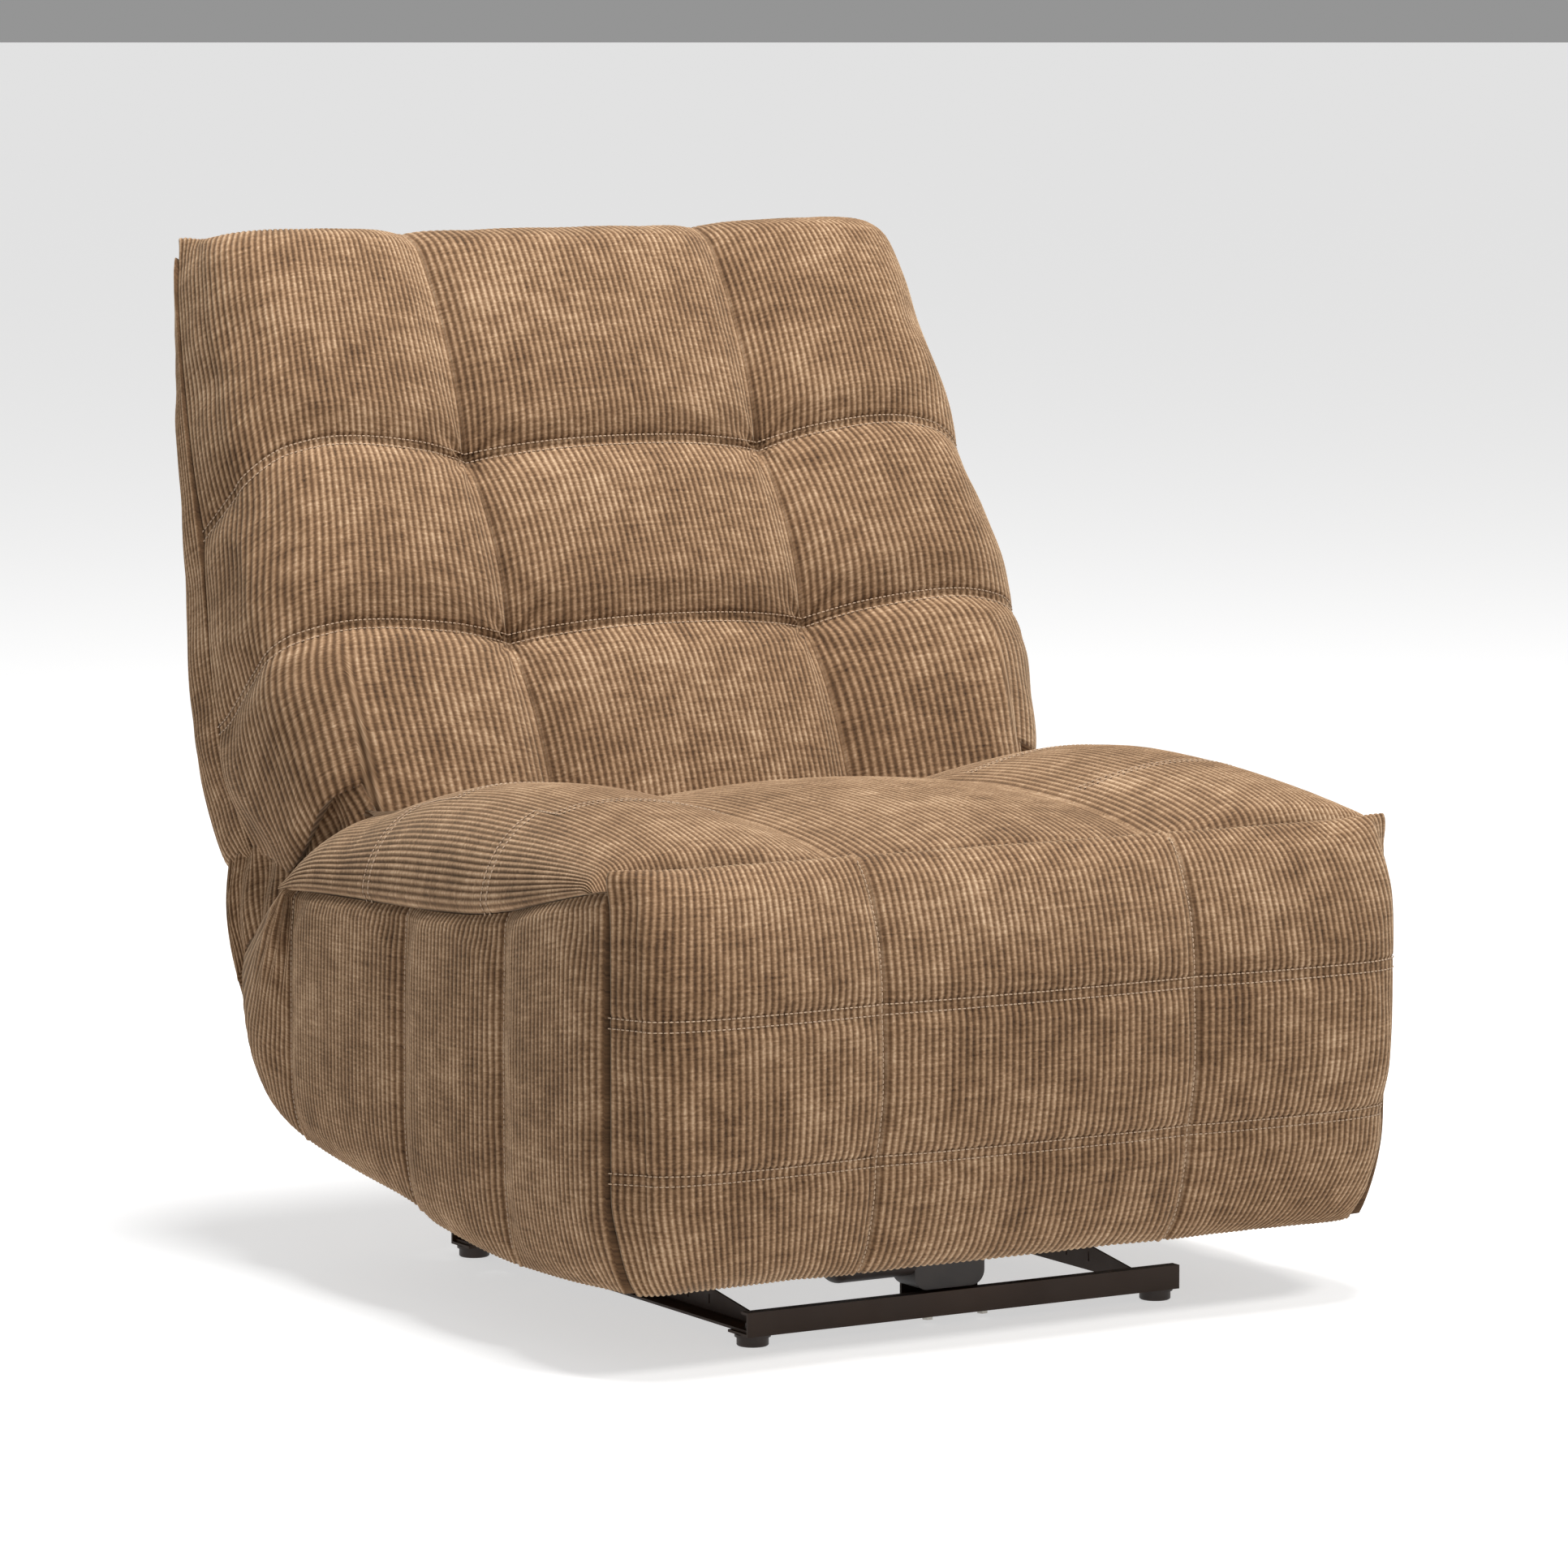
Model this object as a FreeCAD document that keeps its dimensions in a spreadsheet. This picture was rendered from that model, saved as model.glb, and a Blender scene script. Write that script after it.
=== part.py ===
"""Armless powered recliner: steel base, lazy-tong footrest, tilting back, tufted cushions.

Millimetres. X runs across the chair, -Y is the front, +Z is up. The origin is on the floor
under the middle of the chair. Every size is a cell of the sheet Sizes; formulas name the cells.
"""
import FreeCAD, Part
import math
import os
import re
import Sketcher

os.makedirs("parts", exist_ok=True)
doc = FreeCAD.newDocument("Recliner")
V = FreeCAD.Vector

SIZES = {
    # Clearances and shared gauges
    "soft_gap": 0.5, "slide_gap": 0.3, "pin_gap": 0.05, "seat_gap": 0.1, "panel_gap": 2.5,
    "front_gap": 3, "plate_gauge": 3,
    # Base rails: pressed angles, the web at the inner edge and the flange below
    "rail_inner": 211.5, "rail_flange": 25, "rail_gauge": 2.5, "rail_front": -356, "rail_rear": 208, "rail_tail": 190,
    "rail_nose_rise": 13.5, "rail_rise": 24.5, "rail_nose_end": -318, "rail_ramp_end": -246,
    "slot_wide": 2.5, "slot_tall": 9, "slot_front": -247, "slot_rear": -208, "slot_height": 27,
    # Cross bars: channels open towards the middle
    "bar_half": 240, "bar_bottom": 11, "bar_rise": 23, "bar_flange": 36, "bar_lip": 12,
    "bar_edge": 18,
    # Glide feet
    "foot_front": -343, "foot_rear": 193, "foot_radius": 15, "foot_skirt": 8.5, "collar_radius": 17,
    "stud_radius": 4, "stud_rise": 11, "foot_bevel": 1, "nut_radius": 7, "nut_rise": 5,
    # Stand-off brackets and side plates
    "plate_inner": 259, "layer_step": 5.5, "bracket_width": 60, "bracket_front": -75, "bracket_rear": 142,
    "bracket_bottom": 18, "bracket_shelf": 45, "bracket_top": 72, "leg_bottom": 42,
    "leg_half": 35, "arch_top": 150, "arch_lean": 20, "plate_front": -300, "plate_shoulder": 100,
    "ear_radius": 25,
    # Link layers: outer layer against the side plates, inner layer inside it
    "pin_radius": 5, "shoulder_radius": 8,
    "head_radius": 9, "head_gauge": 2.4, "tail_gauge": 1.9,
    # Footrest linkage
    "drive_pivot_y": -200, "drive_pivot_z": 300, "drive_reach": 220, "drive_angle": 300,
    "cross_reach": 353.1, "cross_angle": 153.1, "cross_share": 0.2, "control_overhang": 55,
    "drive_width": 32, "cross_width": 26, "control_width": 28, "outer_width": 24,
    "tube_swing": 15, "tube_reach": 140, "tube_radius": 11, "tube_wall": 2, "tube_boss": 17,
    # Footrest board, brackets and pad
    "footrest_setback": 25, "foot_flange": 20, "foot_bracket_low": 46, "foot_bracket_high": 20,
    "board_gauge": 12, "board_margin": 5, "pad_hem": 30, "pad_cap": 22, "pad_wrap": 45,
    "pad_bottom": 66, "pad_top": 462, "pad_thick": 50, "pad_crown": 11.5,
    "pad_seam": 173, "pad_seam_dip": 9,
    # Front drive
    "drive_x": -16.5, "gear_half": 38.5, "gear_front": -356, "gear_deep": 40, "gear_bottom": 36,
    "gear_round": 14, "motor_radius": 30, "motor_reach": 86, "motor_height": 78,
    "motor_round": 12, "track_height": 110, "track_half": 13, "track_rise": 16, "track_spare": 17, "track_stop": 5,
    "track_slot": 4, "shoe_wall": 5.7, "shoe_half": 14, "fork_base": 6, "fork_wall": 8,
    "fork_half": 12, "fork_spare": 4.3, "fork_over": 5, "mount_margin": 12,
    "mount_rise": 76, "bolt_left": -33, "bolt_right": 28, "bolt_radius": 3, "bolt_head": 5.5,
    "bolt_head_rise": 5.5,
    # Seat box of plywood
    "frame_top": 357, "rail_tall": 57, "stringer_wide": 20,
    "board_inner": 385, "side_board_gauge": 18, "seat_rail_front": -410, "seat_rail_gauge": 18,
    "seat_rail_rear": 55, "side_board_low": 110, "side_board_rear": 262, "rear_board_bottom": 150,
    "rear_board_top": 232, "board_edge": 3, "web_width": 50, "web_gauge": 2.5, "web_count": 6,
    # Seat cushion
    "front_wrap": 17, "rear_margin": 5, "seat_side_crest": 151, "seat_middle_crest": 134,
    "seat_channel": 118, "seat_roll": 34, "seat_seam": 172, "crest_share": 0.6164,
    "seat_shoulder": 33, "seat_nose": 22, "horn_rear": 196,
    # Side panels
    "panel_rear": 304, "panel_swell": 38, "channel_swell": 27, "edge_swell": 14, "channel_front": -249, "channel_middle": -56, "channel_rear": 176,
    "panel_top_front": 445, "panel_bottom": 78,
    # Rear pad
    "rear_pad_margin": 1, "rear_pad_thick": 31, "rear_pad_bottom": 150, "rear_pad_edge": 12,
    # Back: hinge and brackets
    "back_pivot_y": 190, "back_pivot_z": 335, "back_lean": 27, "back_strap": 21, "back_boss": 16,
    "strap_foot": 32, "strap_top": 230, "lever_reach": 90, "lever_angle": 317, "lever_radius": 10,
    "lever_boss": 14,
    # Back: frame, cushion and shell, in the upright frame of the hinge
    "frame_front": -42, "frame_gauge": 22, "stile_width": 73.5,
    "back_frame_top": 640, "frame_rail": 70, "back_bottom": 40, "back_top": 709, "row_low": 253,
    "row_high": 447, "back_seam": 169, "back_seam_y": 100, "tuft_dip": 8, "row_dip": 6,
    "back_crown": 33, "side_crown": 31, "back_half": 449, "back_edge": 72, "row_pull": 5,
    "shell_round": 25, "shell_depth": 130, "shell_bulge": 18.5, "wing_margin": 9.5, "relief_unit": 100,
    # Recline drive
    "recline_x": 70, "cross_tube_y": 70, "cross_tube_z": 190, "cross_tube": 25, "recline_gear_half": 25,
    "recline_gear_deep": 41.5, "recline_gear_bottom": 165, "recline_gear_top": 212,
    "recline_motor_radius": 19.5, "recline_motor_reach": 78, 
    "recline_spare": 0.6, "inlet_x": 210, "inlet_wide": 30, "inlet_tall": 18, "inlet_deep": 26, "inlet_drop": 34, "hanger_wide": 20,
    "jack_radius": 2.75, "jack_deep": 12,
    # Control switch on the right side panel
    "switch_y": -300, "switch_z": 372, "switch_wide": 84, "switch_tall": 26, "switch_let_in": 22,
    "switch_proud": 2.5, "switch_round": 6, "button_radius": 6, "button_pitch": 19,
    "button_length": 12, "button_proud": 2.5, "button_travel": 1.5, "button_gap": 0.06,
}

# Sizes worked out in the sheet from those above, so that what fits together stays together
WORKED_OUT = {
    "outer_layer": "plate_inner - layer_step",
    "inner_layer": "outer_layer - layer_step",
    "stringer_inner": "plate_inner + plate_gauge",
    "skin_inner": "board_inner + side_board_gauge",
    "seat_half": "skin_inner + seat_roll",
    "seat_shoulder_x": "seat_half - seat_shoulder",
    "seat_crest_x": "seat_seam + (seat_shoulder_x - seat_seam) * crest_share",
    "seat_front": "seat_rail_front - front_wrap",
    "seat_rear": "seat_rail_rear + seat_rail_gauge + rear_margin",
    "wing_inner": "board_inner - wing_margin",
    "horn_inner": "wing_inner + front_gap",
    "panel_front": "seat_rail_front - front_wrap",
    "panel_crown": "skin_inner + panel_swell",
    "panel_channel": "skin_inner + channel_swell",
    "panel_edge": "skin_inner + edge_swell",
    "rear_pad_half": "board_inner - rear_pad_margin",
    "switch_inner": "panel_crown - switch_let_in",
    "switch_outer": "panel_crown + switch_proud",
    "board_half": "board_inner - board_margin",
    "board_bottom": "pad_bottom + pad_hem",
    "board_top": "pad_top - pad_cap",
    "pad_half": "board_half + pad_wrap",
    "stile_inner": "outer_layer + plate_gauge",
    "frame_half": "stile_inner + stile_width",
    "gear_top": "track_height + track_rise / 2 + front_gap",
    "mount_left": "bolt_left - mount_margin",
    "mount_right": "bolt_right + mount_margin",
    "track_end": "drive_pivot_y + tube_reach * cos(drive_angle + tube_swing) + shoe_half + track_spare",
    "recline_track_end": "back_pivot_y + lever_reach * cos(lever_angle - back_lean) + shoe_half + track_stop",
}

sheet = doc.addObject("Spreadsheet::Sheet", "Sizes")
cells = list(SIZES.items()) + [(word, "=" + formula) for word, formula in WORKED_OUT.items()]
for row, (word, value) in enumerate(cells, start=1):
    sheet.set("A%d" % row, word)
    sheet.set("B%d" % row, str(value))
    sheet.setAlias("B%d" % row, word)
doc.recompute()


def bound(formula):
    """Put a formula over the sheet's words into the form that an expression takes."""
    def cell(match):
        word = match.group(0)
        return "Sizes." + word if word in SIZES or word in WORKED_OUT else word
    return re.sub(r"[a-z][a-z_0-9]*", cell, str(formula))


def size(formula):
    """Value of a formula over the sheet's words."""
    return float(sheet.evalExpression(bound(formula)))


def bind(thing, path, formula):
    thing.setExpression(path, bound(formula))


def place(thing, x="0", y="0", z="0", axis=None, angle="0"):
    """Seat an object by formulas; axis and angle turn it about its own origin."""
    turn = FreeCAD.Rotation(V(*axis), size(angle)) if axis else FreeCAD.Rotation()
    thing.Placement = FreeCAD.Placement(V(size(x), size(y), size(z)), turn)
    for letter, formula in (("x", x), ("y", y), ("z", z)):
        bind(thing, "Placement.Base." + letter, formula)
    if axis:
        bind(thing, "Placement.Rotation.Angle", angle)


# Sketch and feature helpers

def new_body(label):
    body = doc.addObject("PartDesign::Body", label)
    body.Label = label
    return body


def new_sketch(body, plane):
    sketch = body.newObject("Sketcher::SketchObject", body.Name + "_sketch")
    support = [f for f in body.Origin.OriginFeatures if f.Role == plane + "_Plane"][0]
    sketch.AttachmentSupport = (support, [""])
    sketch.MapMode = "FlatFace"
    return sketch


def fix(sketch, kind, geometry, point, formula):
    """Dimension one point, or a radius, by a formula."""
    where = (geometry,) if point is None else (geometry, point)
    index = sketch.addConstraint(Sketcher.Constraint(kind, *where, size(formula)))
    sketch.setExpression("Constraints[%d]" % index, bound(formula))


def draw_outline(sketch, points):
    """Closed outline of straight runs; each point is a pair of formulas."""
    first = sketch.GeometryCount
    spots = [V(size(u), size(v), 0) for u, v in points]
    count = len(spots)
    for i in range(count):
        sketch.addGeometry(Part.LineSegment(spots[i], spots[(i + 1) % count]))
    for i in range(count):
        sketch.addConstraint(Sketcher.Constraint("Coincident", first + i, 2, first + (i + 1) % count, 1))
        fix(sketch, "DistanceX", first + i, 1, points[i][0])
        fix(sketch, "DistanceY", first + i, 1, points[i][1])


def draw_rectangle(sketch, left, right, low, high):
    draw_outline(sketch, [(left, low), (right, low), (right, high), (left, high)])


def draw_circle(sketch, u, v, radius):
    index = sketch.addGeometry(Part.Circle(V(size(u), size(v), 0), V(0, 0, 1), size(radius)))
    fix(sketch, "DistanceX", index, 3, u)
    fix(sketch, "DistanceY", index, 3, v)
    fix(sketch, "Radius", index, None, radius)


def draw_bosses(sketch, bosses):
    """Outline round two or three bosses (u, v, radius), listed anticlockwise: arcs joined by tangents."""
    first = sketch.GeometryCount
    count = len(bosses)
    centres = [V(size(u), size(v), 0) for u, v, radius in bosses]
    radii = [size(radius) for u, v, radius in bosses]
    normals = []
    for i in range(count):
        run = centres[(i + 1) % count] - centres[i]
        along = (radii[i] - radii[(i + 1) % count]) / run.Length
        across = math.sqrt(1 - along * along)
        run.normalize()
        normals.append(run * along + V(run.y, -run.x, 0) * across)
    for i in range(count):
        start = math.atan2(normals[i - 1].y, normals[i - 1].x)
        end = math.atan2(normals[i].y, normals[i].x)
        while end <= start:
            end += 2 * math.pi
        circle = Part.Circle(centres[i], V(0, 0, 1), radii[i])
        sketch.addGeometry(Part.ArcOfCircle(circle, start, end))
    for i in range(count):
        follower = (i + 1) % count
        start = centres[i] + normals[i] * radii[i]
        end = centres[follower] + normals[i] * radii[follower]
        sketch.addGeometry(Part.LineSegment(start, end))
    for i in range(count):
        line = first + count + i
        sketch.addConstraint(Sketcher.Constraint("Tangent", first + i, 2, line, 1))
        sketch.addConstraint(Sketcher.Constraint("Tangent", line, 2, first + (i + 1) % count, 1))
        u, v, radius = bosses[i]
        fix(sketch, "DistanceX", first + i, 3, u)
        fix(sketch, "DistanceY", first + i, 3, v)
        fix(sketch, "Radius", first + i, None, radius)


def pad(body, sketch, length, middle=False):
    feature = body.newObject("PartDesign::Pad", body.Name + "_pad")
    feature.Profile = sketch
    if middle:
        feature.SideType = "Symmetric"
    bind(feature, "Length", length)
    return feature


def pocket(body, sketch, length, back=False):
    """Cut a sketch into the body; back turns the cut to the sketch's other side."""
    doc.recompute()
    before = body.Shape.Volume
    feature = body.newObject("PartDesign::Pocket", body.Name + "_pocket")
    feature.Profile = sketch
    feature.Reversed = back
    bind(feature, "Length", length)
    doc.recompute()
    if not body.Shape.Volume < before:
        raise ValueError(body.Label + ": a pocket removed nothing")
    return feature


def round_edges(body, radius, chosen):
    """Fillet the edges of the body's last shape whose middle point passes the test."""
    doc.recompute()
    base = body.Tip
    names = []
    for i, edge in enumerate(base.Shape.Edges, start=1):
        if chosen(edge.CenterOfMass, edge):
            names.append("Edge%d" % i)
    fillet = body.newObject("PartDesign::Fillet", body.Name + "_fillet")
    fillet.Base = (base, names)
    bind(fillet, "Radius", radius)
    return fillet


def layer(body, side, inner, gauge):
    """Seat a plate drawn on the YZ plane: its inner face at that distance from the middle."""
    place(body, x=inner if side > 0 else "-(%s) - (%s)" % (inner, gauge))


def yz_plate(label, side, inner, gauge, points, holes=()):
    body = new_body(label)
    sketch = new_sketch(body, "YZ")
    draw_outline(sketch, points)
    for y, z, radius in holes:
        draw_circle(sketch, y, z, radius)
    pad(body, sketch, gauge)
    layer(body, side, inner, gauge)
    return body


def board(label, x0, x1, y0, y1, z0, z1):
    """Straight sawn board between six planes."""
    box = doc.addObject("Part::Box", label)
    box.Label = label
    bind(box, "Length", "(%s) - (%s)" % (x1, x0))
    bind(box, "Width", "(%s) - (%s)" % (y1, y0))
    bind(box, "Height", "(%s) - (%s)" % (z1, z0))
    place(box, x=x0, y=y0, z=z0)
    return box


def turned(label, profile, x, y, z, side):
    """Turned piece whose axis lies along X; the left one is the right one turned half round."""
    body = new_body(label)
    sketch = new_sketch(body, "XY")
    draw_outline(sketch, profile)
    spin = body.newObject("PartDesign::Revolution", label + "_spin")
    spin.Profile = sketch
    spin.ReferenceAxis = ([f for f in body.Origin.OriginFeatures if f.Role == "X_Axis"][0], [""])
    spin.Angle = 360
    place(body, x="(%s) * %d" % (x, side), y=y, z=z, axis=(0, 0, 1), angle="0" if side > 0 else "180")
    if side > 0:
        body.setExpression("Placement.Rotation.Angle", None)
        body.Placement = FreeCAD.Placement(body.Placement.Base, FreeCAD.Rotation())
    return body


def group(label, members):
    """Like pieces that share one name."""
    bundle = doc.addObject("Part::Compound", label)
    bundle.Label = label
    bundle.Links = members
    return bundle


SIDES = (("left", -1), ("right", 1))
nodes = []

# Base rails: a pressed angle on each side, low at the nose and stepped up behind it

flange_top = "bar_bottom + rail_gauge * 2"
web_low = "bar_bottom + rail_gauge"
web_profile = [
    ("rail_front", web_low), ("rail_rear", web_low), ("rail_rear", web_low + " + rail_nose_rise"),
    ("rail_tail", web_low + " + rail_nose_rise"), ("rail_tail - rail_gauge * 4", web_low + " + rail_rise"),
    ("rail_ramp_end", web_low + " + rail_rise"), ("rail_nose_end", web_low + " + rail_nose_rise"),
    ("rail_front", web_low + " + rail_nose_rise"),
]
for side_name, side in SIDES:
    rail = new_body("base_rail_" + side_name)
    web = new_sketch(rail, "YZ")
    draw_outline(web, web_profile)
    for slot_y in ("slot_front", "slot_rear"):
        draw_rectangle(web, slot_y + " - slot_wide / 2", slot_y + " + slot_wide / 2",
                       "slot_height - slot_tall / 2", "slot_height + slot_tall / 2")
    pad(rail, web, "rail_gauge")
    flange = new_sketch(rail, "YZ")
    draw_rectangle(flange, "rail_front", "rail_rear", web_low, flange_top)
    pad(rail, flange, "rail_flange")
    if side < 0:
        rail.Tip.Reversed = True
        bind(flange, "AttachmentOffset.Base.z", "rail_gauge")
    studs = new_sketch(rail, "XY")
    for foot_y in ("foot_front", "foot_rear"):
        draw_circle(studs, "rail_flange / 2 * %d + rail_gauge * %s" % (side, "0" if side > 0 else "1"), foot_y,
                    "stud_radius + slide_gap")
    bind(studs, "AttachmentOffset.Base.z", web_low)
    pocket(rail, studs, "rail_gauge", back=True)
    layer(rail, side, "rail_inner", "rail_gauge")
    nodes.append(rail)

# Cross bars: channels that carry the feet, the web facing outwards at each end of the base

foot_x = "(rail_inner + rail_flange / 2)"


def cross_bar(label, foot_y, out):
    """Channel at a pair of feet; out is -1 at the front and 1 at the rear."""
    body = new_body(label)
    sketch = new_sketch(body, "YZ")
    face = "%s + %d * bar_edge" % (foot_y, out)

    def inward(depth):
        return "%s - %d * (%s)" % (face, out, depth)
    top = "bar_bottom + bar_rise"
    draw_outline(sketch, [
        (face, "bar_bottom"), (inward("bar_flange"), "bar_bottom"),
        (inward("bar_flange"), "bar_bottom + rail_gauge"), (inward("rail_gauge"), "bar_bottom + rail_gauge"),
        (inward("rail_gauge"), top + " - rail_gauge"), (inward("bar_lip"), top + " - rail_gauge"),
        (inward("bar_lip"), top), (face, top)])
    pad(body, sketch, "bar_half * 2", middle=True)
    holes = new_sketch(body, "XY")
    for hole_side in (-1, 1):
        draw_circle(holes, "%s * %d" % (foot_x, hole_side), foot_y, "stud_radius + slide_gap")
    if out < 0:
        for bolt_x in ("bolt_left", "bolt_right"):
            draw_circle(holes, bolt_x, foot_y, "bolt_radius + slide_gap")
    bind(holes, "AttachmentOffset.Base.z", "bar_bottom")
    pocket(body, holes, "rail_gauge", back=True)
    return body


nodes.append(cross_bar("front_cross_bar", "foot_front", -1))
nodes.append(cross_bar("rear_cross_bar", "foot_rear", 1))

# Glide feet: moulded skirt, stepped collar, and a stud with its nut above the rail flange

feet = []
for side_name, side in SIDES:
    for row_name, foot_y in (("front", "foot_front"), ("rear", "foot_rear")):
        foot = new_body("glide_foot_%s_%s" % (row_name, side_name))
        profile = new_sketch(foot, "XZ")
        draw_outline(profile, [
            ("0", "0"), ("foot_radius - foot_bevel", "0"), ("foot_radius", "foot_bevel"),
            ("foot_radius", "foot_skirt"), ("collar_radius", "foot_skirt"), ("collar_radius", "bar_bottom"),
            ("stud_radius", "bar_bottom"), ("stud_radius", flange_top), ("nut_radius", flange_top),
            ("nut_radius", flange_top + " + nut_rise"), ("stud_radius", flange_top + " + nut_rise"),
            ("stud_radius", "bar_bottom + stud_rise + foot_bevel"), ("0", "bar_bottom + stud_rise + foot_bevel")])
        spin = foot.newObject("PartDesign::Revolution", foot.Name + "_spin")
        spin.Profile = profile
        spin.ReferenceAxis = (profile, ["V_Axis"])
        spin.Angle = 360
        place(foot, x="%s * %d" % (foot_x, side), y=foot_y)
        feet.append(foot)
nodes.append(group("glide_feet", feet))

# Stand-off brackets: folded plates from the rail webs out to the side plates

brackets = []
rail_side = "rail_inner + rail_gauge"
for side_name, side in SIDES:
    for row_name, bracket_y in (("front", "bracket_front"), ("rear", "bracket_rear")):
        fold = new_body("bracket_%s_%s" % (row_name, side_name))
        profile = new_sketch(fold, "XZ")
        corners = [
            (rail_side, "bracket_bottom"), (rail_side + " + plate_gauge", "bracket_bottom"),
            (rail_side + " + plate_gauge", "bracket_shelf"), ("plate_inner", "bracket_shelf"),
            ("plate_inner", "bracket_top"), ("plate_inner - plate_gauge", "bracket_top"),
            ("plate_inner - plate_gauge", "bracket_shelf + plate_gauge"),
            (rail_side, "bracket_shelf + plate_gauge")]
        draw_outline(profile, [("(%s) * %d" % (x, side), z) for x, z in corners])
        pad(fold, profile, "bracket_width", middle=True)
        place(fold, y=bracket_y)
        brackets.append(fold)
nodes.append(group("base_brackets", brackets))

# Side plates: stampings with two legs, drilled for the drive, control and back pivots


def turn_y(reach, angle):
    return "%s * cos(%s)" % (reach, angle)


def turn_z(reach, angle):
    return "%s * sin(%s)" % (reach, angle)


DRIVE_PIVOT = ("drive_pivot_y", "drive_pivot_z")
CROSS = (turn_y("cross_reach", "cross_angle"), turn_z("cross_reach", "cross_angle"))
CONTROL_PIVOT = ("drive_pivot_y + cross_share * " + CROSS[0], "drive_pivot_z + cross_share * " + CROSS[1])
BACK_PIVOT = ("back_pivot_y", "back_pivot_z")
pivot_hole = "pin_radius + pin_gap"

plate_top = "frame_top - plate_gauge"
# The rear seat rail passes through a notch in each plate
notch_front, notch_rear = "seat_rail_rear - slide_gap", "seat_rail_rear + seat_rail_gauge + slide_gap"
notch_floor = "frame_top - rail_tall - slide_gap"
plate_outline = [
    ("plate_front", "plate_shoulder + leg_half * 3"), ("bracket_front - leg_half - arch_lean * 2", "arch_top"),
    ("bracket_front - leg_half", "leg_bottom"), ("bracket_front + leg_half", "leg_bottom"),
    ("bracket_front + leg_half + arch_lean", "arch_top"), ("bracket_rear - leg_half - arch_lean", "arch_top"),
    ("bracket_rear - leg_half", "leg_bottom"), ("bracket_rear + leg_half", "leg_bottom"),
    ("bracket_rear + leg_half + arch_lean", "arch_top"),
    ("back_pivot_y + ear_radius", "back_pivot_z - ear_radius / 2"),
    ("back_pivot_y + ear_radius", "back_pivot_z + ear_radius / 3"),
    ("back_pivot_y + ear_radius / 3", plate_top), (notch_rear, plate_top), (notch_rear, notch_floor),
    (notch_front, notch_floor), (notch_front, plate_top), ("plate_front", plate_top)]
for side_name, side in SIDES:
    nodes.append(yz_plate(
        "side_plate_" + side_name, side, "plate_inner", "plate_gauge", plate_outline,
        [pivot + (pivot_hole,) for pivot in (DRIVE_PIVOT, CONTROL_PIVOT, BACK_PIVOT)]))

# Seat box: plywood side boards, front, rear and back rails, and two inner stringers

side_outline = [
    ("seat_rail_front", "side_board_low"), ("bracket_rear", "arch_top - board_gauge"),
    ("side_board_rear - board_gauge * 2", "rear_board_bottom + board_gauge * 2"),
    ("side_board_rear", "rear_board_top"), ("side_board_rear", "frame_top - rail_tall"),
    ("side_board_rear - board_gauge * 2", "frame_top - board_gauge * 2"), ("back_pivot_y", "frame_top"),
    ("seat_rail_front", "frame_top")]
for side_name, side in SIDES:
    side_board = yz_plate("side_board_" + side_name, side, "board_inner", "side_board_gauge", side_outline)
    nodes.append(side_board)
for side_name, side in SIDES:
    near, far = ("stringer_inner", "stringer_inner + stringer_wide")
    x0, x1 = (near, far) if side > 0 else ("-(%s)" % far, "-(%s)" % near)
    nodes.append(board("stringer_" + side_name, x0, x1, "seat_rail_front + seat_rail_gauge", "seat_rail_rear",
                       "frame_top - rail_tall", "frame_top"))
for label, rail_y in (("seat_front_rail", "seat_rail_front"), ("seat_rear_rail", "seat_rail_rear")):
    nodes.append(board(label, "-board_inner", "board_inner", rail_y, rail_y + " + seat_rail_gauge",
                       "frame_top - rail_tall", "frame_top"))
nodes.append(board("rear_board", "-board_inner", "board_inner", "side_board_rear - seat_rail_gauge",
                   "side_board_rear", "rear_board_bottom", "rear_board_top"))

# Elastic webbing, stapled over the front and rear rails

straps = []
for i in range(int(size("web_count"))):
    middle = "(%d - (web_count - 1) / 2) * board_inner * 2 / web_count" % i
    strap = board("webbing_%d" % i, middle + " - web_width / 2", middle + " + web_width / 2",
                  "seat_rail_front + board_edge", "seat_rail_rear + seat_rail_gauge - board_edge",
                  "frame_top", "frame_top + web_gauge")
    straps.append(strap)
nodes.append(group("seat_webbing", straps))

# Footrest linkage: two crossing pairs of links on each side, each link a flat strap with eyes


def link(label, side, inner, width, start, reach, angle, eyes, holes=None):
    """Strap drawn from its first eye along +Y, then seated at that eye and turned to its angle."""
    body = new_body(label)
    sketch = new_sketch(body, "YZ")
    half = width + " / 2"
    draw_bosses(sketch, [("0", "0", half), (reach, "0", half)])
    for along, radius in eyes:
        draw_circle(sketch, along, "0", radius)
    pad(body, sketch, "plate_gauge")
    x = inner if side > 0 else "-(%s) - plate_gauge" % inner
    place(body, x=x, y=start[0], z=start[1], axis=(1, 0, 0), angle=angle)
    return body


DRIVE = (turn_y("drive_reach", "drive_angle"), turn_z("drive_reach", "drive_angle"))
DRIVE_END = (DRIVE_PIVOT[0] + " + " + DRIVE[0], DRIVE_PIVOT[1] + " + " + DRIVE[1])
OVERHANG = (turn_y("control_overhang", "drive_angle"), turn_z("control_overhang", "drive_angle"))
CROSSING = (CONTROL_PIVOT[0] + " + " + DRIVE[0], CONTROL_PIVOT[1] + " + " + DRIVE[1])
CONTROL_END = (CROSSING[0] + " + " + OVERHANG[0], CROSSING[1] + " + " + OVERHANG[1])
CROSS_END = (DRIVE_END[0] + " + " + CROSS[0], DRIVE_END[1] + " + " + CROSS[1])
OUTER_END = (CROSS_END[0] + " + " + OVERHANG[0], CROSS_END[1] + " + " + OVERHANG[1])
fast = "pin_radius + pin_gap"

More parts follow.
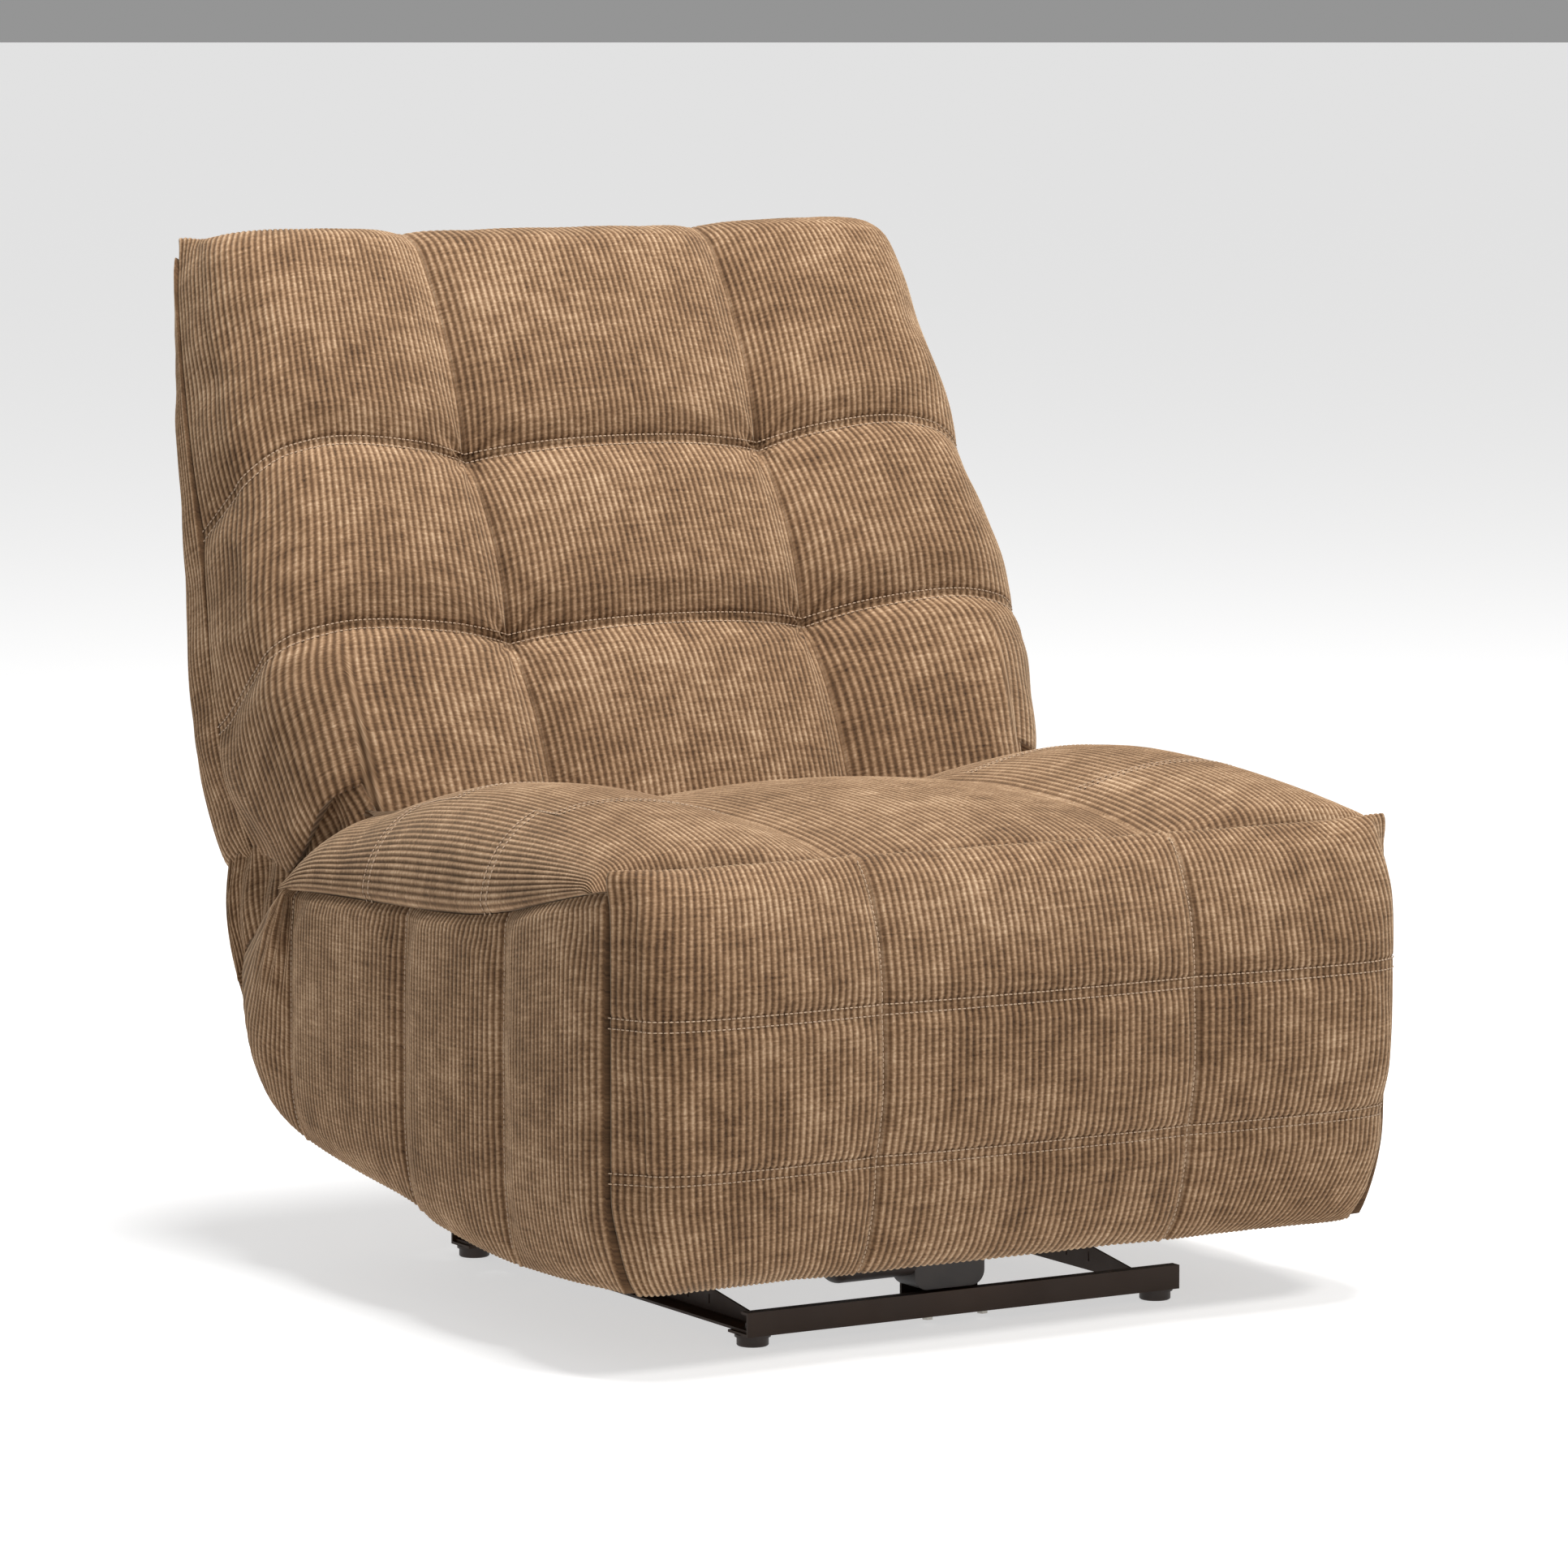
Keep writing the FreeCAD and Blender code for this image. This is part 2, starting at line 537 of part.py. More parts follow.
for side_name, side in SIDES:
    drive = new_body("drive_link_" + side_name)
    arm = new_sketch(drive, "YZ")
    draw_bosses(arm, [
        ("0", "0", "drive_width / 2"), ("drive_reach", "0", "drive_width / 2"),
        (turn_y("tube_reach", "tube_swing"), turn_z("tube_reach", "tube_swing"), "tube_boss")])
    for along in ("0", "drive_reach"):
        draw_circle(arm, along, "0", fast)
    pad(drive, arm, "plate_gauge")
    place(drive, x="outer_layer" if side > 0 else "-outer_layer - plate_gauge", y=DRIVE_PIVOT[0],
          z=DRIVE_PIVOT[1], axis=(1, 0, 0), angle="drive_angle")
    nodes.append(drive)
for side_name, side in SIDES:
    control_reach = "(drive_reach + control_overhang)"
    nodes.append(link("control_link_" + side_name, side, "outer_layer", "control_width", CONTROL_PIVOT,
                      control_reach, "drive_angle",
                      [("0", fast), ("drive_reach", fast), (control_reach, fast)]))
for side_name, side in SIDES:
    nodes.append(link("cross_link_" + side_name, side, "inner_layer", "cross_width", DRIVE_END, "cross_reach",
                      "cross_angle",
                      [("0", fast), ("cross_share * cross_reach", fast), ("cross_reach", fast)]))
for side_name, side in SIDES:
    outer_reach = "(1 - cross_share) * cross_reach"
    nodes.append(link("outer_link_" + side_name, side, "inner_layer", "outer_width", CONTROL_END, outer_reach,
                      "cross_angle", [("0", fast), (outer_reach, fast)]))

# Torque tube: joins the two drive links, and the front carriage pushes it

TUBE = (turn_y("tube_reach", "(drive_angle + tube_swing)"), turn_z("tube_reach", "(drive_angle + tube_swing)"))


def round_tube(label, y, z, radius, half):
    body = new_body(label)
    ring = new_sketch(body, "YZ")
    draw_circle(ring, "0", "0", radius)
    draw_circle(ring, "0", "0", radius + " - tube_wall")
    pad(body, ring, "(%s) * 2" % half, middle=True)
    place(body, y=y, z=z)
    return body


nodes.append(round_tube("torque_tube", "drive_pivot_y + " + TUBE[0], "drive_pivot_z + " + TUBE[1],
                        "tube_radius", "outer_layer"))

# Shouldered rivets: those in the side plates carry the outer layer, the others join the two layers


def frame_pin(label, side, pivot):
    """Rivet from the side plate: shank, spacer shoulder, bearing and head, drawn from the middle outwards."""
    play = "seat_gap"
    head = "outer_layer - %s - head_gauge" % play
    profile = [
        (head, "0"), (head, "head_radius"), ("outer_layer - " + play, "head_radius"),
        ("outer_layer - " + play, "pin_radius"), ("outer_layer + plate_gauge + " + play, "pin_radius"),
        ("outer_layer + plate_gauge + " + play, "shoulder_radius"), ("plate_inner", "shoulder_radius"),
        ("plate_inner", "pin_radius"), ("plate_inner + plate_gauge", "pin_radius"),
        ("plate_inner + plate_gauge", "0")]
    return turned(label, profile, "0", pivot[0], pivot[1], side)


def link_pin(label, side, pivot):
    """Rivet held by the outer layer: tail, shank, spacer shoulder, bearing and inner head."""
    play = "seat_gap"
    head = "inner_layer - %s - head_gauge" % play
    tail = "outer_layer + plate_gauge"
    profile = [
        (head, "0"), (head, "head_radius"), ("inner_layer - " + play, "head_radius"),
        ("inner_layer - " + play, "pin_radius"), ("inner_layer + plate_gauge + " + play, "pin_radius"),
        ("inner_layer + plate_gauge + " + play, "shoulder_radius"), ("outer_layer", "shoulder_radius"),
        ("outer_layer", "pin_radius"), (tail, "pin_radius"), (tail, "shoulder_radius"),
        (tail + " + tail_gauge", "shoulder_radius"), (tail + " + tail_gauge", "0")]
    return turned(label, profile, "0", pivot[0], pivot[1], side)


def pin_group(label, maker, pivots):
    pins = []
    for side_name, side in SIDES:
        for i, pivot in enumerate(pivots):
            pins.append(maker("%s_%s_%d" % (label, side_name, i), side, pivot))
    return group(label, pins)


nodes.append(pin_group("frame_pins", frame_pin, [DRIVE_PIVOT, CONTROL_PIVOT, BACK_PIVOT]))
nodes.append(pin_group("drive_pins", link_pin, [DRIVE_END]))
nodes.append(pin_group("control_pins", link_pin, [CROSSING, CONTROL_END]))
nodes.append(pin_group("footrest_pins", link_pin, [CROSS_END, OUTER_END]))

# Footrest: angle brackets on the links, a plywood board let into the back of a quilted pad

board_back = CROSS_END[0] + " - footrest_setback"
for side_name, side in SIDES:
    angle_bracket = new_body("footrest_bracket_" + side_name)
    ear = new_sketch(angle_bracket, "YZ")
    draw_outline(ear, [
        (board_back, OUTER_END[1] + " - foot_bracket_low"), (board_back + " + plate_gauge * 2", OUTER_END[1] +
                                                              " - foot_bracket_low"),
        (OUTER_END[0] + " + outer_width / 2", OUTER_END[1] + " - outer_width / 3"),
        (OUTER_END[0] + " + outer_width / 2", OUTER_END[1] + " + outer_width / 3"),
        (CROSS_END[0] + " + outer_width / 2", CROSS_END[1] + " + foot_bracket_high - plate_gauge"),
        (CROSS_END[0], CROSS_END[1] + " + foot_bracket_high"),
        (board_back, CROSS_END[1] + " + foot_bracket_high")])
    for eye in (CROSS_END, OUTER_END):
        draw_circle(ear, eye[0], eye[1], fast)
    pad(angle_bracket, ear, "plate_gauge")
    flange = new_sketch(angle_bracket, "YZ")
    draw_rectangle(flange, board_back, board_back + " + plate_gauge", OUTER_END[1] + " - foot_bracket_low",
                   CROSS_END[1] + " + foot_bracket_high")
    pad(angle_bracket, flange, "foot_flange")
    if side > 0:
        angle_bracket.Tip.Reversed = True
        bind(flange, "AttachmentOffset.Base.z", "plate_gauge")
    layer(angle_bracket, side, "outer_layer", "plate_gauge")
    nodes.append(angle_bracket)
nodes.append(board("footrest_board", "-board_half", "board_half", board_back + " - board_gauge", board_back,
                   "board_bottom", "board_top"))

# Soft forms are lofts between closed outlines of lines and flat arcs


def closed_wire(runs, lift):
    """Close a chain of runs; a run is an end point, or a middle and an end point of an arc."""
    edges = []
    start = lift(*runs[-1][-1])
    for run in runs:
        end = lift(*run[-1])
        if len(run) == 1:
            edges.append(Part.makeLine(start, end))
        else:
            edges.append(Part.Arc(start, lift(*run[0]), end).toShape())
        start = end
    return Part.Wire(edges)


def loft(wires, straight=False):
    """Solid through the outlines, smooth or with straight runs between them."""
    return Part.makeLoft(wires, True, straight)


def soft_part(label, shapes, cuts=()):
    """Join quilted sections that share their seam planes, then take the recesses out."""
    whole = shapes[0].multiFuse(shapes[1:]) if len(shapes) > 1 else shapes[0]
    for cut in cuts:
        whole = whole.cut(cut)
    solids = whole.Solids
    part = doc.addObject("Part::Feature", label)
    part.Label = label
    part.Shape = solids[0] if len(solids) == 1 else whole
    return part



# Footrest pad: three by three quilted cells, bulging forward and drawn in at the seams

pad_back = size(board_back)
PAD_ROW_SHARES = (
    # Share of the height, swell and width there, for each quilted row
    ((0, 0.18, 0.93), (0.13, 0.84, 0.972), (0.3, 0.74, 0.993)),
    ((0.3, 0.74, 0.993), (0.48, 1, 1), (0.657, 0.8, 0.997)),
    ((0.657, 0.8, 0.997), (0.85, 0.95, 0.985), (1, 0.22, 0.952)),
)
FACE_SHARE, ROUND_SHARE, SLOPE_SHARE, EDGE_SHARE = 0.6, 0.72, 0.25, 0.45


def quilted_front(half, seam, edge_y, seam_y, face_y, side_y):
    """Runs of a front seen from above, right to left: side swell, seam, middle swell, seam, side swell."""
    crest_x = seam + (half - seam) * FACE_SHARE
    round_x = crest_x + (half - crest_x) * ROUND_SHARE
    round_y = edge_y + (side_y - edge_y) * ROUND_SHARE
    slope_x = (crest_x + seam) / 2
    slope_y = side_y + (seam_y - side_y) * SLOPE_SHARE
    return [
        [(round_x, round_y), (crest_x, side_y)], [(slope_x, slope_y), (seam, seam_y)],
        [(0, face_y), (-seam, seam_y)],
        [(-slope_x, slope_y), (-crest_x, side_y)], [(-round_x, round_y), (-half, edge_y)],
    ]


def pad_outline(share, swell, width):
    """Section of the footrest pad at a height."""
    z = size("pad_bottom") + share * size("pad_top - pad_bottom")
    half = size("pad_half") * width
    face_y = pad_back - size("pad_thick") - size("pad_crown") * swell
    edge_y = pad_back + (face_y - pad_back) * EDGE_SHARE
    front = quilted_front(half, size("pad_seam"), edge_y, face_y + size("pad_seam_dip"), face_y, face_y)
    return closed_wire([[(half, edge_y)]] + front + [[(-half, pad_back)], [(half, pad_back)]],
                       lambda x, y: V(x, y, z))


pad_rows = [loft([pad_outline(*station) for station in row]) for row in PAD_ROW_SHARES]
recess = Part.makeBox(size("(board_half + soft_gap) * 2"), size("board_gauge + soft_gap + front_gap"),
                      size("board_top - board_bottom + soft_gap * 2"),
                      V(-size("board_half + soft_gap"), pad_back - size("board_gauge + soft_gap"),
                        size("board_bottom - soft_gap")))
nodes.append(soft_part("footrest_pad", pad_rows, [recess]))

# Side panels: quilted pads on the side boards, with three vertical channels

TOP_LINE_SHARES = ((0, 1), (0.354, 0.866), (0.852, 0.815), (0.926, 0.741), (0.981, 0.659), (1, 0.6))
BOTTOM_LINE_SHARES = ((0, 0.003), (0.235, 0), (0.458, 0.038), (0.529, 0.076), (0.695, 0.117), (0.836, 0.163),
                      (0.918, 0.226), (1, 0.49))
CELL_SHARES = (0, 0.2, 0.5, 0.8, 1)
CELL_SWELL_SHARES = (0, 0.75, 1, 0.75, 0)
BELLY_SHARE, TUCK_SHARE, TUCK_RISE_SHARE, LIP_SHARE = 0.42, 0.78, 0.15, 0.25


def along(line, share):
    """Height on a broken line of shares."""
    for (x0, y0), (x1, y1) in zip(line, line[1:]):
        if share <= x1:
            return y0 + (y1 - y0) * (share - x0) / (x1 - x0)
    return line[-1][1]


def panel_height(line, y):
    share = (y - size("panel_front")) / size("panel_rear - panel_front")
    return size("panel_bottom") + along(line, share) * size("panel_top_front - panel_bottom")


panel_inner = size("skin_inner + soft_gap")


def panel_outline(y, swell, crown):
    low = panel_height(BOTTOM_LINE_SHARES, y)
    high = panel_height(TOP_LINE_SHARES, y)
    out = size("panel_channel") + size("panel_crown - panel_channel") * swell * crown
    edge = size("panel_edge")
    belly = low + (high - low) * BELLY_SHARE
    lip = out - size("panel_crown - panel_channel") * LIP_SHARE
    return closed_wire([
        [(edge, low)], [(edge + (out - edge) * TUCK_SHARE, low + (high - low) * TUCK_RISE_SHARE), (out, belly)],
        [(out, (belly + high) / 2), (lip, high)], [(panel_inner, high)], [(panel_inner, low)],
    ], lambda x, z: V(x, y, z))


panel_seams = [size(word) for word in ("panel_front", "channel_front", "channel_middle", "channel_rear",
                                       "panel_rear")]
panel_cells = []
for front_y, rear_y in zip(panel_seams, panel_seams[1:]):
    panel_cells.append(loft([panel_outline(front_y + (rear_y - front_y) * share, swell, 1)
                             for share, swell in zip(CELL_SHARES, CELL_SWELL_SHARES)]))
switch_seat = Part.makeBox(size("panel_crown - switch_inner + front_gap + soft_gap"),
                           size("switch_wide + soft_gap * 2"), size("switch_tall + soft_gap * 2"),
                           V(size("switch_inner - soft_gap"), size("switch_y - switch_wide / 2 - soft_gap"),
                             size("switch_z - switch_tall / 2 - soft_gap")))
for side_name, side in SIDES:
    cells = panel_cells if side > 0 else [cell.mirror(V(0, 0, 0), V(1, 0, 0)) for cell in panel_cells]
    nodes.append(soft_part("side_panel_" + side_name, cells, [switch_seat] if side > 0 else []))

# Seat cushion: a middle swell between two higher side swells that roll down to the side panels

seat_base = size("frame_top + web_gauge + soft_gap")
seat_inner = size("skin_inner")
SEAT_STATION_SHARES = (0, 0.044, 0.192, 0.3525, 0.5485, 0.7347, 0.885, 1)
SEAT_CROWN_SHARES = (0.68, 0.78, 0.91, 0.975, 1, 0.955, 0.85, 0.74)
HORN_STATION_SHARES = (0, 0.44, 0.74, 1)
HORN_HEIGHT_SHARES = (1, 0.87, 0.67, 0.22)
SHOULDER_SHARE, HIP_SHARE, NOSE_DROP_SHARE, NOSE_BASE_SHARE = 0.86, 0.5, 0.93, 0.6


def seat_heights(crown):
    side_z = seat_base + size("seat_side_crest") * crown
    middle_z = seat_base + size("seat_middle_crest") * crown
    channel_z = seat_base + size("seat_channel") * crown
    return side_z, middle_z, channel_z


def seat_ledge(y):
    return panel_height(TOP_LINE_SHARES, y) + size("panel_gap")


def seat_outline(y, crown):
    side_z, middle_z, channel_z = seat_heights(crown)
    ledge = seat_ledge(y)
    half, seam, crest_x = size("seat_half"), size("seat_seam"), size("seat_crest_x")
    shoulder_x = size("seat_shoulder_x")
    shoulder_z = ledge + (side_z - ledge) * SHOULDER_SHARE
    hip = (half - (half - shoulder_x) * (1 - HIP_SHARE) / 4, ledge + (side_z - ledge) * HIP_SHARE)
    return closed_wire([
        [(seat_inner, seat_base)], [(seat_inner, ledge)], [(half, ledge)], [hip, (shoulder_x, shoulder_z)],
        [(crest_x, side_z), (seam, channel_z)], [(0, middle_z), (-seam, channel_z)],
        [(-crest_x, side_z), (-shoulder_x, shoulder_z)], [(-hip[0], hip[1]), (-half, ledge)],
        [(-seat_inner, ledge)], [(-seat_inner, seat_base)],
    ], lambda x, z: V(x, y, z))


def nose_outline(y, crown, low):
    """Roll at the rear of the seat, under the back cushion."""
    side_z, middle_z, channel_z = seat_heights(crown)
    reach, seam, crest_x = size("horn_inner - front_gap"), size("seat_seam"), size("seat_crest_x")
    return closed_wire([
        [(reach, low)], [(reach, channel_z)], [(crest_x, side_z), (seam, channel_z)],
        [(0, middle_z), (-seam, channel_z)], [(-crest_x, side_z), (-reach, channel_z)], [(-reach, low)],
    ], lambda x, z: V(x, y, z))


def horn_outline(y, height):
    """Side swell beside the lower end of the back."""
    ledge = seat_ledge(y)
    top = ledge + (seat_heights(SEAT_CROWN_SHARES[-1])[0] - ledge) * height
    half, inner, shoulder_x = size("seat_half"), size("horn_inner"), size("seat_shoulder_x")
    shoulder_z = ledge + (top - ledge) * SHOULDER_SHARE
    hip = (half - (half - shoulder_x) * (1 - HIP_SHARE) / 4, ledge + (top - ledge) * HIP_SHARE)
    return closed_wire([
        [(seat_inner, seat_base)], [(seat_inner, ledge)], [(half, ledge)], [hip, (shoulder_x, shoulder_z)],
        [((shoulder_x + inner) / 2, shoulder_z + (top - shoulder_z) * ROUND_SHARE), (inner, top)],
        [(inner, seat_base)],
    ], lambda x, z: V(x, y, z))


seat_front, seat_rear = size("seat_front"), size("seat_rear")
seat_wires = [seat_outline(seat_front + (seat_rear - seat_front) * share, crown)
              for share, crown in zip(SEAT_STATION_SHARES, SEAT_CROWN_SHARES)]
horn = loft([horn_outline(seat_rear + size("horn_rear - seat_rear") * share, height)
             for share, height in zip(HORN_STATION_SHARES, HORN_HEIGHT_SHARES)])
last_crown = SEAT_CROWN_SHARES[-1]
nose_low = seat_base + size("seat_channel") * last_crown * NOSE_BASE_SHARE
nose = loft([nose_outline(seat_rear, last_crown, nose_low - size("seat_nose") / 2),
             nose_outline(seat_rear + size("seat_nose"), last_crown * NOSE_DROP_SHARE, nose_low)])
nodes.append(soft_part("seat_cushion", [loft(seat_wires), horn, horn.mirror(V(0, 0, 0), V(1, 0, 0)), nose]))

# Rear pad: padded cover on the rear board, kept low enough for the back to tilt over it

REAR_PAD_SHARES = (0, 0.08, 0.25, 0.5, 0.75, 0.92, 1)
REAR_SWELL_SHARES = (0.5, 0.8, 0.97, 1, 0.97, 0.8, 0.5)


def rear_outline(share, swell):
    z = size("rear_pad_bottom") + share * size("rear_board_top - rear_pad_bottom")
    near = size("side_board_rear + soft_gap")
    deep = near + size("rear_pad_thick") * swell
    half, edge = size("rear_pad_half"), size("rear_pad_edge")
    return closed_wire([
        [(half, near)], [(half, deep - edge)], [(half - edge / 4, deep - edge / 4), (half - edge, deep)],
        [(-half + edge, deep)], [(-half + edge / 4, deep - edge / 4), (-half, deep - edge)], [(-half, near)],
    ], lambda x, y: V(x, y, z))


rear_wires = [rear_outline(share, swell) for share, swell in zip(REAR_PAD_SHARES, REAR_SWELL_SHARES)]
nodes.append(soft_part("rear_pad", [loft(rear_wires, straight=True)]))

# Front drive: bracket and bolts on the cross bar, gearbox, motor, track, and the carriage that runs on it

mount = new_body("motor_bracket")
foot_plate = new_sketch(mount, "YZ")
channel_floor = "bar_bottom + rail_gauge"
gear_rear = "gear_front + gear_deep"
draw_outline(foot_plate, [
    ("gear_front", channel_floor), (gear_rear + " + plate_gauge", channel_floor),
    (gear_rear + " + plate_gauge", channel_floor + " + mount_rise"), (gear_rear, channel_floor + " + mount_rise"),
    (gear_rear, channel_floor + " + plate_gauge"), ("gear_front", channel_floor + " + plate_gauge")])
pad(mount, foot_plate, "mount_right - mount_left")
bolt_holes = new_sketch(mount, "XY")
for bolt_x in ("bolt_left", "bolt_right"):
    draw_circle(bolt_holes, bolt_x + " - mount_left", "foot_front", "bolt_radius + slide_gap")
bind(bolt_holes, "AttachmentOffset.Base.z", channel_floor)
pocket(mount, bolt_holes, "plate_gauge", back=True)
place(mount, x="mount_left")
nodes.append(mount)

bolts = []
for bolt_name, bolt_x in (("left", "bolt_left"), ("right", "bolt_right")):
    bolt = doc.addObject("Part::Cylinder", "bolt_shank_" + bolt_name)
    bind(bolt, "Radius", "bolt_radius")
    bind(bolt, "Height", "rail_gauge + plate_gauge * 2 + bolt_head_rise / 2")
    place(bolt, x=bolt_x, y="foot_front", z="bar_bottom - bolt_head_rise / 2")
    head = doc.addObject("Part::Prism", "bolt_head_" + bolt_name)
    head.Polygon = 6
    bind(head, "Circumradius", "bolt_head")
    bind(head, "Height", "bolt_head_rise")
    place(head, x=bolt_x, y="foot_front", z="bar_bottom - bolt_head_rise")
    whole = doc.addObject("Part::Fuse", "motor_bolt_" + bolt_name)
    whole.Base, whole.Tool = head, bolt
    bolts.append(whole)
nodes.append(group("motor_bolts", bolts))


def gearbox(label, x, half, front, deep, bottom, top, rounding):
    """Moulded gear housing with its long edges rounded."""
    body = new_body(label)
    face = new_sketch(body, "XZ")
    draw_rectangle(face, "-(%s)" % half, half, bottom, top)
    pad(body, face, deep, middle=True)
    place(body, x=x, y="%s + (%s) / 2" % (front, deep))
    round_edges(body, rounding, lambda middle, edge: abs(middle.y) < size("pin_gap"))
    return body


def motor(label, x, y, z, radius, reach, rounding, side):
    """Cylindrical motor lying across the chair, its far end rounded over."""
    body = new_body(label)
    ring = new_sketch(body, "YZ")
    draw_circle(ring, "0", "0", radius)
    pad(body, ring, reach)
    if side < 0:
        body.Tip.Reversed = True
    place(body, x=x, y=y, z=z)
    far = size(reach) * side
    round_edges(body, rounding, lambda middle, edge: abs(middle.x - far) < size("pin_gap"))
    return body


def track(label, x, start, end, z):
    """Square rail with a slot along its top; start and end are places along Y."""
    body = new_body(label)
    section = new_sketch(body, "XZ")
    half, rise, slot = "track_half", "track_rise / 2", "track_slot / 2"
    draw_outline(section, [("-" + half, "-" + rise), (half, "-" + rise), (half, rise), (slot, rise),
                           (slot, rise + " - track_slot"), ("-" + slot, rise + " - track_slot"),
                           ("-" + slot, rise), ("-" + half, rise)])
    pad(body, section, "%s - (%s)" % (end, start))
    place(body, x=x, y=end, z=z)
    return body


def carriage(label, x, y, z, tube, spare, fork_top):
    """Shoe that rides the track and a fork whose two arms stand either side of a cross tube."""
    body = new_body(label)
    ring = new_sketch(body, "XZ")
    inner_x, inner_z = "track_half + slide_gap", "track_rise / 2 + slide_gap"
    outer_x, outer_z = inner_x + " + shoe_wall", inner_z + " + shoe_wall"
    draw_rectangle(ring, "-(%s)" % outer_x, outer_x, "-(%s)" % outer_z, outer_z)
    draw_rectangle(ring, "-(%s)" % inner_x, inner_x, "-(%s)" % inner_z, inner_z)
    pad(body, ring, "shoe_half * 2", middle=True)
    fork = new_sketch(body, "YZ")
    slot = "(%s) + (%s)" % (tube, spare)
    base = outer_z + " + fork_base"
    outline = [(slot + " + fork_wall", outer_z), (slot + " + fork_wall", fork_top), (slot, fork_top), (slot, base)]
    draw_outline(fork, [("-(%s)" % u, v) for u, v in outline] + [(u, v) for u, v in reversed(outline)])
    pad(body, fork, "fork_half * 2", middle=True)
    place(body, x=x, y=y, z=z)
    return body


nodes.append(gearbox("lift_gearbox", "drive_x", "gear_half", "gear_front", "gear_deep", "gear_bottom",
                     "gear_top", "gear_round"))
nodes.append(motor("lift_motor", "drive_x - gear_half", "gear_front + gear_deep / 2", "motor_height",
                   "motor_radius", "motor_reach", "motor_round", -1))
nodes.append(track("lift_track", "drive_x", gear_rear, "track_end", "track_height"))
tube_top = "drive_pivot_z + tube_reach * sin(drive_angle + tube_swing) + tube_radius + fork_over - track_height"
nodes.append(carriage("lift_carriage", "drive_x", "drive_pivot_y + " + TUBE[0], "track_height", "tube_radius",
                      "fork_spare", tube_top))

# Recline drive: hangs on a cross tube between the side plates and pushes the back's lever tube

cross = new_body("cross_tube")
wall = new_sketch(cross, "YZ")
half_tube = "cross_tube / 2"
draw_rectangle(wall, "-" + half_tube, half_tube, "-" + half_tube, half_tube)
inner_tube = half_tube + " - tube_wall"
draw_rectangle(wall, "-(%s)" % inner_tube, inner_tube, "-(%s)" % inner_tube, inner_tube)
pad(cross, wall, "plate_inner * 2", middle=True)
place(cross, y="cross_tube_y", z="cross_tube_z")
nodes.append(cross)
recline_gear_front = "cross_tube_y + cross_tube / 2"
nodes.append(gearbox("recline_gearbox", "recline_x", "recline_gear_half", recline_gear_front,
                     "recline_gear_deep", "recline_gear_bottom", "recline_gear_top", "gear_round / 2"))
nodes.append(motor("recline_motor", "recline_x + recline_gear_half",
                   recline_gear_front + " + recline_gear_deep / 2", "cross_tube_z",
                   "recline_motor_radius", "recline_motor_reach", "motor_round / 2", 1))
nodes.append(track("recline_track", "recline_x", recline_gear_front + " + recline_gear_deep",
                   "recline_track_end", "cross_tube_z"))
LEVER = (turn_y("lever_reach", "(lever_angle - back_lean)"), turn_z("lever_reach", "(lever_angle - back_lean)"))
lever_top = "back_pivot_z + " + LEVER[1] + " + lever_radius + fork_over - cross_tube_z"
nodes.append(carriage("recline_carriage", "recline_x", "back_pivot_y + " + LEVER[0], "cross_tube_z",
                      "lever_radius", "recline_spare", lever_top))

inlet_top = "cross_tube_z - cross_tube / 2 - inlet_drop"
inlet = board("inlet_block", "inlet_x - inlet_wide / 2", "inlet_x + inlet_wide / 2",
              "cross_tube_y - inlet_deep / 2", "cross_tube_y + inlet_deep / 2", inlet_top + " - inlet_tall", inlet_top)
hanger = board("inlet_hanger", "inlet_x - hanger_wide / 2", "inlet_x + hanger_wide / 2",
               "cross_tube_y - plate_gauge / 2", "cross_tube_y + plate_gauge / 2", inlet_top, inlet_top + " + inlet_drop")
hung = doc.addObject("Part::Fuse", "inlet_body")
hung.Base, hung.Tool = inlet, hanger
jack = doc.addObject("Part::Cylinder", "inlet_jack")
bind(jack, "Radius", "jack_radius")
bind(jack, "Height", "jack_deep * 2")
place(jack, x="inlet_x", y="cross_tube_y + inlet_deep / 2 + jack_deep",
      z=inlet_top + " - inlet_tall / 2", axis=(1, 0, 0), angle="90")
socket = doc.addObject("Part::Cut", "power_inlet")
socket.Label = "power_inlet"
socket.Base, socket.Tool = hung, jack
nodes.append(socket)

# Back: hinge brackets with the lever arm, lever tube, and an open plywood frame, all in the leaning
# frame of the hinge, where the first axis runs through the back and the second runs up it


def lean(thing, x="0", depth="0"):
    """Seat a piece drawn upright at the hinge, leaning with the back."""
    place(thing, x=x, y="back_pivot_y + (%s) * cos(back_lean)" % depth,
          z="back_pivot_z - (%s) * sin(back_lean)" % depth, axis=(-1, 0, 0), angle="back_lean")


strap_y = "frame_front + frame_gauge / 2"
LEVER_EYE = (turn_y("lever_reach", "lever_angle"), turn_z("lever_reach", "lever_angle"))
for side_name, side in SIDES:
    hinge = new_body("back_bracket_" + side_name)
    straps_of_bracket = (
        [("0", "0", "back_boss"), (strap_y, "strap_foot", "back_strap / 2")],
        [(strap_y, "strap_foot", "back_strap / 2"), (strap_y, "strap_top", "back_strap / 2")],
        [("0", "0", "back_boss"), LEVER_EYE + ("lever_boss",)])
    for strap in straps_of_bracket:
        arm = new_sketch(hinge, "YZ")
        draw_bosses(arm, strap)
        pad(hinge, arm, "plate_gauge")
    eye = new_sketch(hinge, "YZ")
    draw_circle(eye, "0", "0", fast)
    pocket(hinge, eye, "plate_gauge", back=True)
    lean(hinge, x="outer_layer" if side > 0 else "-outer_layer - plate_gauge")
    nodes.append(hinge)
nodes.append(round_tube("back_lever_tube", "back_pivot_y + " + LEVER[0], "back_pivot_z + " + LEVER[1],
                        "lever_radius", "outer_layer"))

